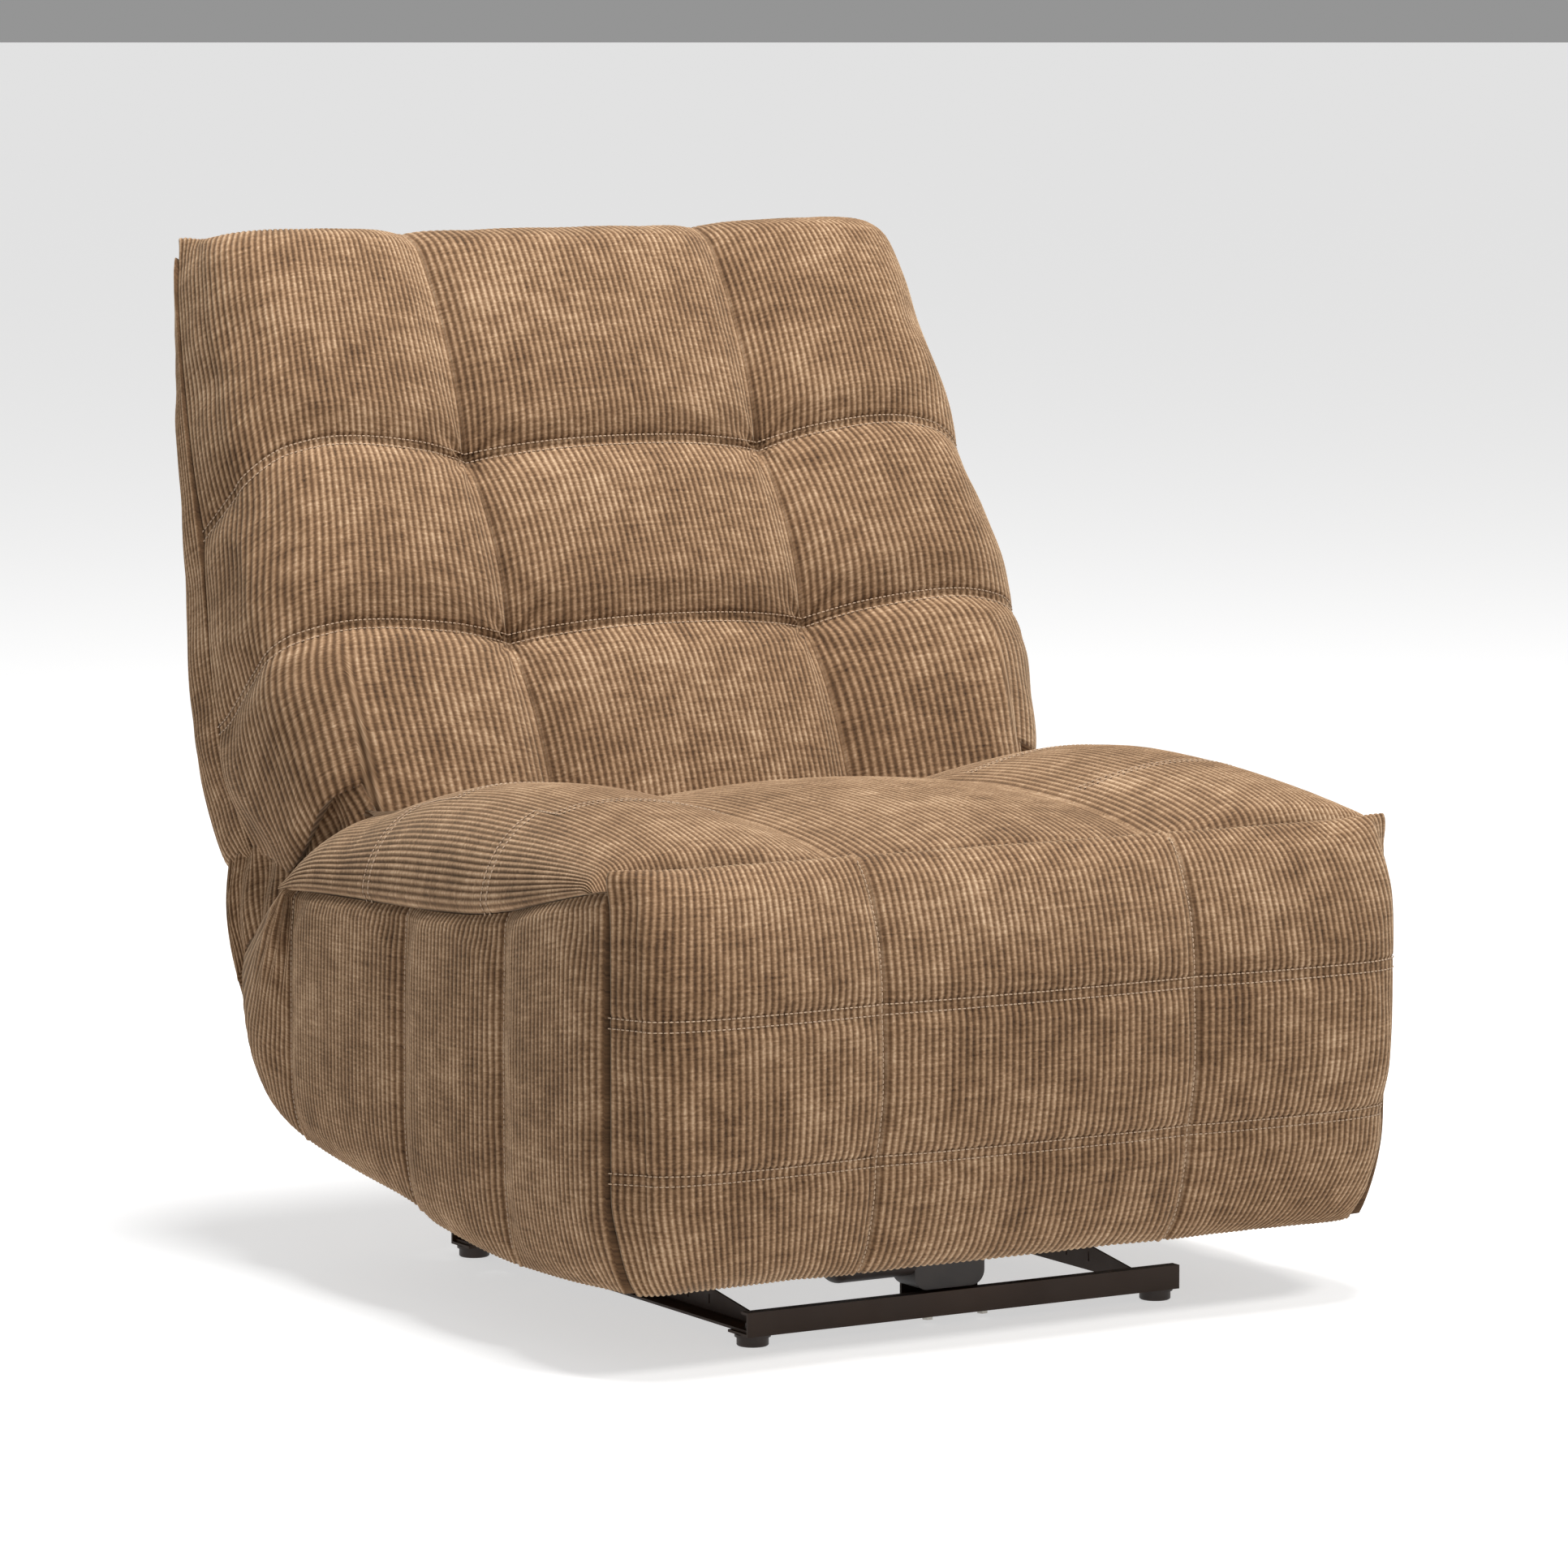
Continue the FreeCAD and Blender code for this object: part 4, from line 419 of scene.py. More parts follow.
threads = {}
STITCH_ROW, STITCH_LIFT, EDGE_STITCH_LIFT = 0.0053, 0.0006, 0.0030
RIB_HEIGHT, LOOSE_STEP, HELD_SEAM = 0.0014, 0.009, 0.5
GROOVE_AT, GROOVE_WIDTH, GROOVE_DEPTH, FLAT_WIDTH, FLAT_LEVEL = 0.0064, 0.0016, 0.0019, 0.0052, 0.0002
LAP_HEIGHT, LAP_WIDTH, SUNK_WIDTH, LAP_EDGE = 0.0018, 0.0040, 0.0036, 0.0008
SUPPORT, HEM_STEP = 0.03, 0.002


def sew_cover(name, shape, ribs, start, end, cross_seams, hems, body, replaced, sign, swell,
              column_groove=0.0045, gathers=(), fade=None, after=None, step=0.0068, pleats=None,
              edge_thread=False):
    """Sew one padded cover: shape(c, r) gives its points, for columns c counted in cells between lengthwise
    seams and rows r along the ribs. Ribs, grooves, cross seams and gathers are raised on the stuffed form.
    The sign is 1 where the grid's own faces point outwards, and -1 where they are turned."""
    cells = np.arange(len(ribs) + 1)
    count = np.concatenate([[0], np.cumsum(ribs)])
    fine = cut_columns(ribs, 4)
    rows = cut_rows(start, end, [place for place, strength in cross_seams], step)
    points = shape(fine, rows)
    loose = cut_columns(ribs, 1)
    marks = [start] + [place for place, strength in cross_seams] + [end]
    spans = [np.linspace(a, b, max(2, int(round((b - a) / LOOSE_STEP)) + 1))
             for a, b in zip(marks, marks[1:])]
    loose_rows = np.unique(np.round(np.concatenate(spans), 7))
    held = np.zeros((len(loose_rows), len(loose)), bool)
    held[:, np.isin(loose, cells)] = True
    held[[0, -1]] = True
    for place, strength in cross_seams:
        if strength > HELD_SEAM:
            held[np.argmin(np.abs(loose_rows - place))] = True
    moved = stuffed(name + "_loose", shape(loose, loose_rows), held, sign, swell)
    moved = refine(moved, loose_rows, rows)
    points = points + np.transpose(refine(np.transpose(moved, (1, 0, 2)), loose, fine), (1, 0, 2))
    normals = surface_normals(points, sign)
    for place, strength in cross_seams:
        for off in (-STITCH_ROW, STITCH_ROW):
            if strength > 0:
                line = (points + normals * STITCH_LIFT)[np.argmin(np.abs(rows - place - off))]
                runs = [line] if fade is None else [line[fine < 0.93], line[fine > len(ribs) - 0.93]]
                threads.setdefault(body, []).extend(runs)
    if edge_thread:
        for k in range(1, len(ribs)):
            beside = np.argmin(np.abs(fine - k)) - 2
            threads.setdefault(body, []).append((points + normals * EDGE_STITCH_LIFT)[3:-3, beside])
    c, r = np.meshgrid(np.interp(fine, cells, count), rows)
    lift = (np.abs(np.sin(np.pi * c)) ** 0.75 - 0.55) * RIB_HEIGHT
    lift = lift * (1 + 0.16 * np.sin(c * 2.4 + r * 37) * np.sin(c * 0.7 - r * 19 + 2))
    for place, strength in cross_seams:
        off = np.abs(r - place)
        mask = strength if fade is None else strength * fade(c / count[-1])
        groove = bell(off - GROOVE_AT, GROOVE_WIDTH) * GROOVE_DEPTH
        flat = np.exp(-(off / FLAT_WIDTH) ** 6)
        lift = lift - groove * mask - flat * (lift - FLAT_LEVEL) * 0.5 * mask
    for k in count[1:-1]:
        off = (c - k) * RIB
        lap = np.where(off < 0, LAP_HEIGHT * bell(off, LAP_WIDTH), -column_groove * bell(off, SUNK_WIDTH))
        lift = lift + np.where(off == 0, LAP_EDGE, lap)
    for at_c, at_r, depth, reach in gathers:
        off_c, off_r = (c - np.interp(at_c, cells, count)) * RIB, r - at_r
        away, about = np.hypot(off_c, off_r), np.arctan2(off_r, off_c)
        folds = np.cos(about * 9 + 1.3 * np.sin(about * 2 + at_r * 40))
        lift = lift + depth * bell(away, reach) * (1 - bell(away, 0.007)) * folds
        lift = lift - depth * 1.2 * bell(away, reach * 0.35)
    if pleats is not None:
        lift = lift + pleats(fine, rows)
    points = points + normals * lift[..., None]
    if after is not None:
        points = after(points, fine, rows)
    make_cover(name, points, c, r, hems, sign, body, replaced)


def moved_to(edge, axis, places):
    """A cover's border with one of its coordinates changed."""
    turned = edge.copy()
    turned[:, axis] = places
    return turned


def make_cover(name, points, c, r, hems, sign, body, replaced):
    """Close the cloth behind: each hem takes its border one turn further, and a fan closes the last turn."""
    rows, columns = points.shape[:2]
    index = np.arange(rows * columns).reshape(rows, columns)
    loop = np.concatenate([index[0, :-1], index[:-1, -1], index[-1, :0:-1], index[:0:-1, 0]])
    corners = points.reshape(-1, 3)
    cloth_c, cloth_r = c.ravel(), r.ravel()
    edge, edge_c, edge_r = corners[loop], cloth_c[loop], cloth_r[loop]
    quads, rim = [grid_faces(rows, columns)], loop
    turns = []
    for hem in hems:
        turns += [lambda rim, hem=hem: rim + (hem(rim) - rim) * SUPPORT, hem]
    for turn_in in turns:
        edge = turn_in(edge)
        fresh = len(corners) + np.arange(len(loop))
        corners = np.concatenate([corners, edge])
        edge_r = edge_r + HEM_STEP
        cloth_c, cloth_r = np.concatenate([cloth_c, edge_c]), np.concatenate([cloth_r, edge_r])
        quads.append(np.stack([np.roll(rim, -1), rim, fresh, np.roll(fresh, -1)], axis=1))
        rim = fresh
    middle = len(corners)
    corners = np.concatenate([corners, edge.mean(axis=0)[None]])
    cloth_c, cloth_r = np.append(cloth_c, edge_c.mean()), np.append(cloth_r, edge_r.mean())
    four = np.concatenate(quads)
    fan = np.stack([np.roll(rim, -1), rim, np.full(len(rim), middle)], axis=1)
    if sign < 0:
        four, fan = four[:, ::-1], fan[:, ::-1]
    mesh = bpy.data.meshes.new(name)
    mesh.from_pydata(corners.tolist(), [], four.tolist() + fan.tolist())
    order = np.concatenate([four.ravel(), fan.ravel()])
    cloth = np.stack([cloth_c[order], cloth_r[order]], axis=1).astype(np.float32)
    mesh.uv_layers.new(name="fabric").data.foreach_set("uv", cloth.ravel())
    mesh.polygons.foreach_set("use_smooth", np.ones(len(mesh.polygons), bool))
    mesh.materials.append(corduroy)
    cover = put(name, mesh)
    if isinstance(body, str):
        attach(cover, body)
    else:
        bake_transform(cover)
    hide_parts(*replaced)


# Side panels: quilted pads stretched over the plywood sides, with three sewn channels up each and a gathered
# corner behind them. They bulge at mid height and tuck under at the bottom. The cloth is stapled inside.

PANEL_FRONT, PANEL_REAR, PANEL_INNER, BOARD_INNER = -0.427, 0.304, 0.4035, 0.384
LAST_SEAM, PANEL_FOOT, PANEL_HEIGHT, REAR_FOOT = 0.176, 0.078, 0.367, 0.258
PANEL_OUT, PANEL_PUFF, PANEL_UNDER = 0.430, 0.011, 0.417
PANEL_SEAMS = (PANEL_FRONT, -0.249, -0.056, LAST_SEAM, PANEL_REAR)
TOP_LINE = ((0, 1), (0.354, 0.866), (0.852, 0.815), (0.926, 0.741), (0.981, 0.659), (1, 0.6))
BOTTOM_LINE = ((0, 0.003), (0.235, 0), (0.458, 0.038), (0.529, 0.076), (0.695, 0.117), (0.836, 0.163),
               (0.918, 0.226), (1, 0.49))


def panel_edge_height(line, y):
    return PANEL_FOOT + PANEL_HEIGHT * flowing(line, (y - PANEL_FRONT) / (PANEL_REAR - PANEL_FRONT))


PANEL_RUN = 0.34
REAR_EDGE = ((0, PANEL_REAR, REAR_FOOT), (0.12, 0.305, 0.290), (0.3, 0.291, 0.318), (0.6, 0.250, 0.350),
             (0.85, 0.205, 0.374), (1, 0.182, 0.385))


def side_panel(side):
    def shape(c, r):
        cell = np.clip(np.floor(c).astype(int), 0, 3)
        t = c - cell
        seams = np.array(PANEL_SEAMS)
        y = seams[cell] + (seams[cell + 1] - seams[cell]) * t
        puff = (1 - np.abs(2 * t - 1) ** 2.4) ** 0.85
        low, high = panel_edge_height(BOTTOM_LINE, y), panel_edge_height(TOP_LINE, y)
        share = (r / PANEL_RUN)[:, None]
        z = low + (high - low) * share
        last = ramp(c - 3)
        edge_share, edge_y, edge_z = np.array(REAR_EDGE).T
        seam_low, seam_high = (panel_edge_height(line, LAST_SEAM) for line in (BOTTOM_LINE, TOP_LINE))
        fan_y = LAST_SEAM * (1 - last) + np.interp(share, edge_share, edge_y) * last
        fan_z = ((seam_low + (seam_high - seam_low) * share) * (1 - last)
                 + np.interp(share, edge_share, edge_z) * last)
        fan_z = fan_z + (low - seam_low * (1 - last) - REAR_FOOT * last) * (1 - share)
        y, z = np.where(c > 3, fan_y, y), np.where(c > 3, fan_z, z)
        belly = (1 - (1 - ramp(share, 0.42)) ** 3) ** 0.8
        out = PANEL_OUT + PANEL_PUFF * puff
        x = PANEL_UNDER + (out - PANEL_UNDER) * belly - 0.003 * ramp(share - 0.55, 0.45) ** 2
        curl = bell(y - PANEL_FRONT, 0.06) * np.clip((0.165 - z) / 0.08, 0, 1.1) ** 1.6
        tucked = 0.005 * bell(PANEL_RUN - r[:, None], 0.005)
        x = x - (0.012 if side > 0 else 0.009) * curl - 0.012 * last ** 5 - tucked
        return np.stack([x * side, y, z], axis=2)

    def inside(edge):
        """The border goes in behind the pad, and at the front round the board's edge to its inner face."""
        front = edge[:, 1] < PANEL_FRONT + 0.002
        behind = np.minimum(np.abs(edge[:, 0]) - 0.004, PANEL_INNER)
        turned = moved_to(edge, 0, np.where(front, BOARD_INNER, behind) * side)
        return moved_to(turned, 1, np.where(front, PANEL_FRONT - 0.0014, edge[:, 1]))

    return shape, [inside]


def gathered_corner(c, r):
    """Pleats that run down from the point where the seat, the side and the back meet."""
    last, share = ramp(c - 3)[None, :], (r / PANEL_RUN)[:, None]
    depth = ramp(share - 0.45, 0.35) ** 1.5 * (1 - ramp(share - 0.93, 0.07))
    return 0.0046 * depth * np.sin(last * 31 + 1.2 * np.sin(share * 9)) * ramp(last * 6)


for side_name, side in (("left", -1), ("right", 1)):
    shape, hems = side_panel(side)
    sew_cover("side_panel_cover_" + side_name, shape, (25, 27, 33, 18), 0.0, PANEL_RUN, [(PANEL_RUN, 0.0)],
              hems, "seat_frame", ["side_panel_" + side_name], side, swell=0.004, column_groove=0.005,
              pleats=gathered_corner, edge_thread=True)

# Seat cushion: one cover over a middle swell and two higher side swells, which roll down over the sides to
# the side panels. Two double-stitched seams cross each side roll above the panel channels.

SEAT_FRONT, SEAT_REAR, HORN_REAR, SEAT_BASE = -0.427, 0.100, 0.196, 0.360
SEAT_HALF, SEAT_CREST, SEAT_SEAM, HORN_INNER = 0.437, 0.315, 0.172, 0.377
SEAT_RUN, FRONT_ROLL, REAR_ROLL, NOSE, HEEL = 0.640, 0.075, 0.040, 0.030, 0.022
ROLL_HEIGHT, MIDDLE_HEIGHT, HORN_START, SEAT_LIP = 0.085, 0.116, 0.078, 0.400
SEAT_CROWN = ((0, 0.68), (0.044, 0.78), (0.192, 0.91), (0.3525, 0.975), (0.5485, 1), (0.7347, 0.955),
              (0.885, 0.85), (1, 0.74))
HORN_DROP = ((0, 1), (0.44, 0.87), (0.74, 0.67), (1, 0.22))


def into_side(c):
    """How far each column is into a side cell, counted from the cover's border."""
    return np.where(c < 1, c, np.where(c > 2, 3 - c, 0))


def mirrored(c, side, middle):
    """The same on the left and right cells, and this on the middle one."""
    return np.where(c < 1, -side, np.where(c > 2, side, middle))


def seat_crown(y):
    return flowing(SEAT_CROWN, (y - SEAT_FRONT) / 0.505)


def seat_section(c):
    """Across the seat: x, and the share of the roll's height, for columns c."""
    angle = np.radians(np.linspace(0, 90, 40))
    roll = np.stack([SEAT_CREST + (SEAT_HALF - SEAT_CREST) * np.cos(angle) ** 0.84,
                     ROLL_HEIGHT * np.sin(angle) ** 0.95], axis=1)
    run = np.linspace(0, 1, 40)[1:]
    down = np.stack([SEAT_CREST + (SEAT_SEAM - SEAT_CREST) * run, ROLL_HEIGHT - 0.033 * run ** 2], axis=1)
    half = even_steps(np.concatenate([roll, down]), flowing(((0, 0), (0.59, 0.52), (1, 1)), into_side(c)))
    x = mirrored(c, half[:, 0], SEAT_SEAM * (2 * c - 3))
    rise = np.where(np.abs(x) > SEAT_CREST, (half[:, 1] / ROLL_HEIGHT), 1.0)
    x = x - np.sign(x) * np.where(np.abs(x) > SEAT_CREST, 0.005 * bell(half[:, 1], 0.005), 0)
    return x, ramp(rise)


def seat_top(x, y):
    middle = MIDDLE_HEIGHT + 0.015 * (1 - np.abs(x / SEAT_SEAM) ** 2.2)
    t = ramp(np.abs(x) - SEAT_SEAM, SEAT_CREST - SEAT_SEAM)
    side = MIDDLE_HEIGHT + 0.030 * np.sin(t * np.pi / 2) ** 0.9
    return SEAT_BASE + np.where(np.abs(x) < SEAT_SEAM, middle, side) * seat_crown(y)


def seat_shape(c, r):
    x, rise = seat_section(c)
    r = r[:, None] + np.zeros(len(c))
    x = np.sign(x) * np.minimum(np.abs(x), 0.4255 + 0.012 * ramp(r, FRONT_ROLL))
    end = SEAT_REAR + (HORN_REAR - SEAT_REAR) * ramp(np.abs(x) - HORN_INNER + 0.001, 0.002)
    body = ramp(r - FRONT_ROLL, SEAT_RUN - FRONT_ROLL - REAR_ROLL)
    y = SEAT_FRONT + NOSE + (end - SEAT_FRONT - NOSE - HEEL) * body
    over = np.radians(90) * ramp(r, FRONT_ROLL)
    y = np.where(r < FRONT_ROLL, SEAT_FRONT + NOSE * (1 - np.cos(over)) ** 1.2, y)
    back = np.radians(90) * ramp(r - SEAT_RUN + REAR_ROLL, REAR_ROLL)
    y = np.where(r > SEAT_RUN - REAR_ROLL, end - HEEL + HEEL * np.sin(back), y)
    horn = np.abs(x) > HORN_INNER
    fall = np.where(horn & (y > HORN_START), flowing(HORN_DROP, ramp(y - HORN_START, 0.118)), 1)
    ledge = panel_edge_height(TOP_LINE, y) + 0.0006
    top = seat_top(x, np.minimum(y, HORN_START))
    top = ledge + (top - ledge) * fall
    z = np.where(np.abs(x) > SEAT_CREST, ledge + (top - ledge) * rise, top)
    z = np.where(r < FRONT_ROLL, SEAT_LIP + (z - SEAT_LIP) * np.sin(over) ** 0.8, z)
    z = np.where(np.abs(x) > 0.4, np.maximum(z, ledge), z)
    sunk = (z - SEAT_LIP) * (1 - np.cos(back)) * np.where(horn, 0.0, 0.6)
    return np.stack([x, y, np.where(r > SEAT_RUN - REAR_ROLL, z - sunk, z)], axis=2)


def seat_ledge_hem(edge):
    return moved_to(edge, 0, np.clip(edge[:, 0], -0.403, 0.403))


def seat_floor_hem(edge):
    return moved_to(edge, 2, SEAT_BASE)


def seat_side_only(share):
    """The cross seams fade out from the side rolls to the middle of the seat."""
    return np.clip(1 - (np.minimum(share, 1 - share) - 0.10) / 0.05, 0, 1)


def seat_row_at(y):
    return FRONT_ROLL + (y - SEAT_FRONT - NOSE) / (SEAT_REAR - SEAT_FRONT - 0.052) * (SEAT_RUN - 0.115)


sew_cover("seat_cushion_cover", seat_shape, (49, 47, 49), 0.0, SEAT_RUN,
          [(seat_row_at(-0.249), 0.5), (seat_row_at(-0.056), 0.5)],
          [seat_ledge_hem, seat_floor_hem], "seat_frame", ["seat_cushion"], 1, swell=0.004,
          column_groove=0.002, fade=seat_side_only)

# Footrest pad: three by three quilted cells over the footrest board. Two seams run up it and two
# double-stitched seams cross it; its edges wrap round the board and are stapled behind.

PAD_BACK, PAD_HALF, PAD_SEAM, PAD_EDGE_HALF = -0.4299, 0.411, 0.171, 0.4245
CREST_SHARE, EDGE_ROUND, CELL_ROUND, CELL_FULL = 0.6, 0.85, 2.4, 0.9
BOARD_HALF, BOARD_LOW, BOARD_HIGH = 0.380, 0.096, 0.440
EDGE_WIDTH = ((0.076, 0.935), (0.09, 0.955), (0.12, 0.978), (0.17, 1), (0.44, 1), (0.462, 0.992))
PAD_WIDTH = ((0, 0.925), (0.05, 0.95), (0.11, 0.96), (0.2, 0.969), (0.3, 0.98), (0.48, 0.992), (0.657, 1),
             (0.85, 0.995), (1, 0.978))


def flow_at(line, place):
    return float(flowing(line, np.array([place]))[0])


def quilted_level(c, half, seam, wrap, edge, dip, middle, side, taper):
    """One level of a three-cell quilted front: x and forward depth for columns c. The depths are those of the
    border, the rounded edge, the seams, and the crests of the middle and side cells."""
    crest = seam + (half - seam) * CREST_SHARE
    straight = np.linspace(0, 1, 14)
    flank = np.stack([half + taper * (1 - straight), wrap + (edge - wrap) * straight], axis=1)
    angle = np.radians(np.linspace(0, 90, 30))[1:]
    round_over = np.stack([crest + (half - crest) * np.cos(angle) ** EDGE_ROUND,
                           edge + (side - edge) * np.sin(angle) ** EDGE_ROUND], axis=1)
    run = np.linspace(0, 1, 40)[1:]
    swell = dip + (side - dip) * (1 - run ** CELL_ROUND) ** CELL_FULL
    inward = np.stack([crest + (seam - crest) * run, swell], axis=1)
    outer = even_steps(np.concatenate([flank, round_over, inward]), into_side(c))
    run = np.linspace(-1, 1, 61)
    swell = dip + (middle - dip) * (1 - np.abs(run) ** CELL_ROUND) ** CELL_FULL
    centre = even_steps(np.stack([seam * run, swell], axis=1), ramp(c - 1))
    x = mirrored(c, outer[:, 0], centre[:, 0])
    return np.stack([x, np.where((c < 1) | (c > 2), outer[:, 1], centre[:, 1])], axis=1)


PAD_PROFILE = ((0.076, 0.008), (0.086, 0.018), (0.110, 0.032), (0.145, 0.043), (0.185, 0.050), (0.256, 0.060),
               (0.326, 0.0605), (0.380, 0.053), (0.420, 0.040), (0.448, 0.024), (0.462, 0.008))
pad_heights = np.linspace(0.076, 0.462, 240)
pad_path = np.stack([pad_heights, flowing(PAD_PROFILE, pad_heights)], axis=1)
pad_path = np.concatenate([[[0.078, 0.0]], pad_path, [[0.461, 0.0]]])
pad_reach = np.concatenate([[0], np.cumsum(np.linalg.norm(np.diff(pad_path, axis=0), axis=1))])


def pad_shape(c, r):
    points = np.zeros((len(r), len(c), 3))
    for j, (z, face) in enumerate(even_steps(pad_path, r / pad_reach[-1])):
        half = PAD_HALF * flow_at(PAD_WIDTH, (z - 0.066) / 0.396)
        taper = PAD_EDGE_HALF * flow_at(EDGE_WIDTH, z) - half
        dip = face - 0.006 * min(1, face / 0.04)
        level = quilted_level(c, half, PAD_SEAM, 0.0, face * 0.5, dip, face, face, taper)
        drawn_in = np.maximum(level[:, 0], 0) * 0.022 * max(0.0, (0.16 - z) / 0.08) ** 1.6
        points[j, :, 0] = level[:, 0] - drawn_in
        points[j, :, 1] = PAD_BACK - level[:, 1]
        points[j, :, 2] = z
    return points


def pad_row_at(z):
    return float(np.interp(z, pad_path[1:-1, 0], pad_reach[1:-1]))


def pad_ears(points, c, r):
    """Small ears where the pad's top corners are sewn."""
    out = bell(np.minimum(c, 3 - c)[None, :], 0.16) * bell(r[:, None] - pad_row_at(0.455), 0.020)
    points[..., 0] += 0.005 * out * np.sign(points[..., 0])
    points[..., 2] += 0.004 * out
    return points


def round_board(margin, behind):
    """One turn of the cloth's border round the board: how far outside its edge and behind the pad."""
    def hem(edge):
        half = BOARD_HALF + margin
        return np.stack([np.clip(edge[:, 0], -half, half), np.full(len(edge), PAD_BACK + behind),
                         np.clip(edge[:, 2], BOARD_LOW - margin, BOARD_HIGH + margin)], axis=1)

    return hem


pad_hems = [round_board(0.0018, 0.0004), round_board(-0.028, 0.0012), round_board(-0.028, -0.0050)]
sew_cover("footrest_pad_cover", pad_shape, (40, 48, 40), 0.0, float(pad_reach[-1]),
          [(pad_row_at(0.185), 0.9), (pad_row_at(0.326), 0.9)], pad_hems, "footrest", ["footrest_pad"], 1,
          swell=0.004, column_groove=0.005, after=pad_ears, edge_thread=True)

# Rear pad: a low strip of foam across the rear board, under the tilting back. The same cloth is pulled over
# it and stapled along its border.

REAR_FACE, REAR_RUN = 0.2625, 0.11


def rear_pad_shape(c, r):
    side = ramp(np.minimum(c, 1 - c)[None, :], 0.03)
    climb = ramp(r[:, None], REAR_RUN) * np.pi
    swell = np.sin(climb) ** 0.45 * (1 - (1 - side) ** 2.2) ** 0.6
    z = 0.150 + 0.082 * (0.5 - 0.5 * np.cos(climb))
    return np.stack(np.broadcast_arrays(-0.4025 + 0.805 * c[None, :], REAR_FACE + 0.030 * swell, z), axis=2)


def rear_pad_hem(edge):
    return moved_to(edge, 1, REAR_FACE)


sew_cover("rear_pad_cover", rear_pad_shape, (110,), 0.0, REAR_RUN, [], [rear_pad_hem], "seat_frame",
          ["rear_pad"], -1, swell=0.004, step=0.006)

# Back cushion: nine tufted cells, three across and three up, on the front of the back frame. The outer cells
# roll round the sides to a boxing seam. The top row rolls over to the top seam, with an ear at each corner.

BACK_LOW, BACK_HIGH, ROW_LOW, ROW_HIGH, BACK_SEAM = 0.040, 0.709, 0.253, 0.447, 0.169
BACK_TOP, TOP_ROLL, BACK_WIDEST = BACK_HIGH + 0.02, 0.060, 0.449
HINGE_Y, HINGE_Z, BACK_TILT = 0.190, 0.335, 27
FRAME_FACE, EDGE_DEPTH, DIP_DEPTH, MIDDLE_DEPTH, SIDE_DEPTH = 0.040, 0.074, 0.096, 0.121, 0.119
TUFT_PULL, TUFT_REACH = 0.30, 0.055
PUFF_LOW = ((0, 0.35), (0.3, 0.85), (0.56, 1), (0.85, 0.66), (1, 0))
WIDTH_LINE = ((0, 0.925), (0.12, 0.945), (0.3, 0.982), (0.38, 0.988), (0.5, 0.980), (0.68, 0.963),
              (0.9, 0.922), (0.98, 0.9), (1, 0.885))
FRONT_INSET = ((0, 0.001), (0.2, 0.003), (0.34, 0.008), (0.5, 0.016), (0.75, 0.017), (1, 0.012))
SHELL_LINE = ((0, 0.7), (0.03, 0.9), (0.08, 1), (0.14, 0.985), (0.2, 0.93), (0.26, 0.8), (0.33, 0.65),
              (0.4, 0.52), (0.466, 0.4), (0.54, 0.28), (0.62, 0.19), (0.7, 0.12), (0.8, 0.06), (0.89, -0.02),
              (0.94, -0.09), (0.97, -0.16), (0.99, -0.24))
BOXING_LINE = ((0.04, 0.060), (0.15, 0.048), (0.25, 0.016), (0.35, -0.010), (0.447, -0.024), (0.64, -0.034),
               (0.709, -0.036))
RELIEF_LINE = ((-0.14, 0.112), (-0.11, 0.1047), (0, 0.064), (0.038, 0.095), (0.068, 0.105), (0.104, 0.092),
               (0.134, 0.072), (0.17, 0.066))


def back_share(v):
    return (v - BACK_LOW) / (BACK_HIGH - BACK_LOW)


def back_half(v):
    return BACK_WIDEST * flowing(WIDTH_LINE, back_share(v))


def back_puff(v):
    """Swell of the quilted rows up the back: none at the row seams, and less towards the top seam."""
    low = flowing(PUFF_LOW, (v - BACK_LOW) / (ROW_LOW - BACK_LOW))
    t = ramp(v - ROW_LOW, ROW_HIGH - ROW_LOW)
    middle = (1 - np.abs(2 * t - 1) ** 2.3) ** 0.8
    t = ramp(v - ROW_HIGH, 0.690 - ROW_HIGH)
    high = (1 - np.abs(2 * t - 1) ** 2.3) ** 0.8
    return np.where(v < ROW_LOW, low, np.where(v < ROW_HIGH, middle, high))


def lean(points):
    """From the upright back to its place on the hinge, tilted as it stands at rest."""
    x, y, v = np.moveaxis(points, -1, 0)
    tilt = radians(BACK_TILT)
    depth, height = HINGE_Y + y * cos(tilt) + v * sin(tilt), HINGE_Z + v * cos(tilt) - y * sin(tilt)
    return np.stack([x, depth, height], axis=-1)


def raise_sides(points):
    """The sides' lower edge follows the relief that clears the arms of the seat when the back tilts."""
    x, y, v = np.moveaxis(points, -1, 0)
    arm = ramp(np.abs(x) - 0.3635, 0.012)
    low = BACK_LOW + (flowing(RELIEF_LINE, y) - BACK_LOW) * arm * arm * (3 - 2 * arm)
    raised = np.where(v < ROW_LOW, ROW_LOW - (ROW_LOW - v) * (ROW_LOW - low) / (ROW_LOW - BACK_LOW), v)
    return np.stack([x, y, raised], axis=-1)


BOW_REACH = ((0.04, 0), (0.2, 1), (0.5, 1), (0.70, 0))
SIDE_BOW = ((0, 0), (0.2, 0.010), (0.45, 0.016), (0.62, 0.010), (0.78, -0.010), (0.9, -0.026), (1, -0.038))


def seam_bow(c):
    """The cross seams arch up between the tufts, and drop towards the boxing seams."""
    outer = flowing(SIDE_BOW, np.where(c < 1, 1 - c, ramp(c - 2)))
    return np.where((c < 1) | (c > 2), outer, 0.004 * (1 - (2 * np.clip(c, 1, 2) - 3) ** 2))


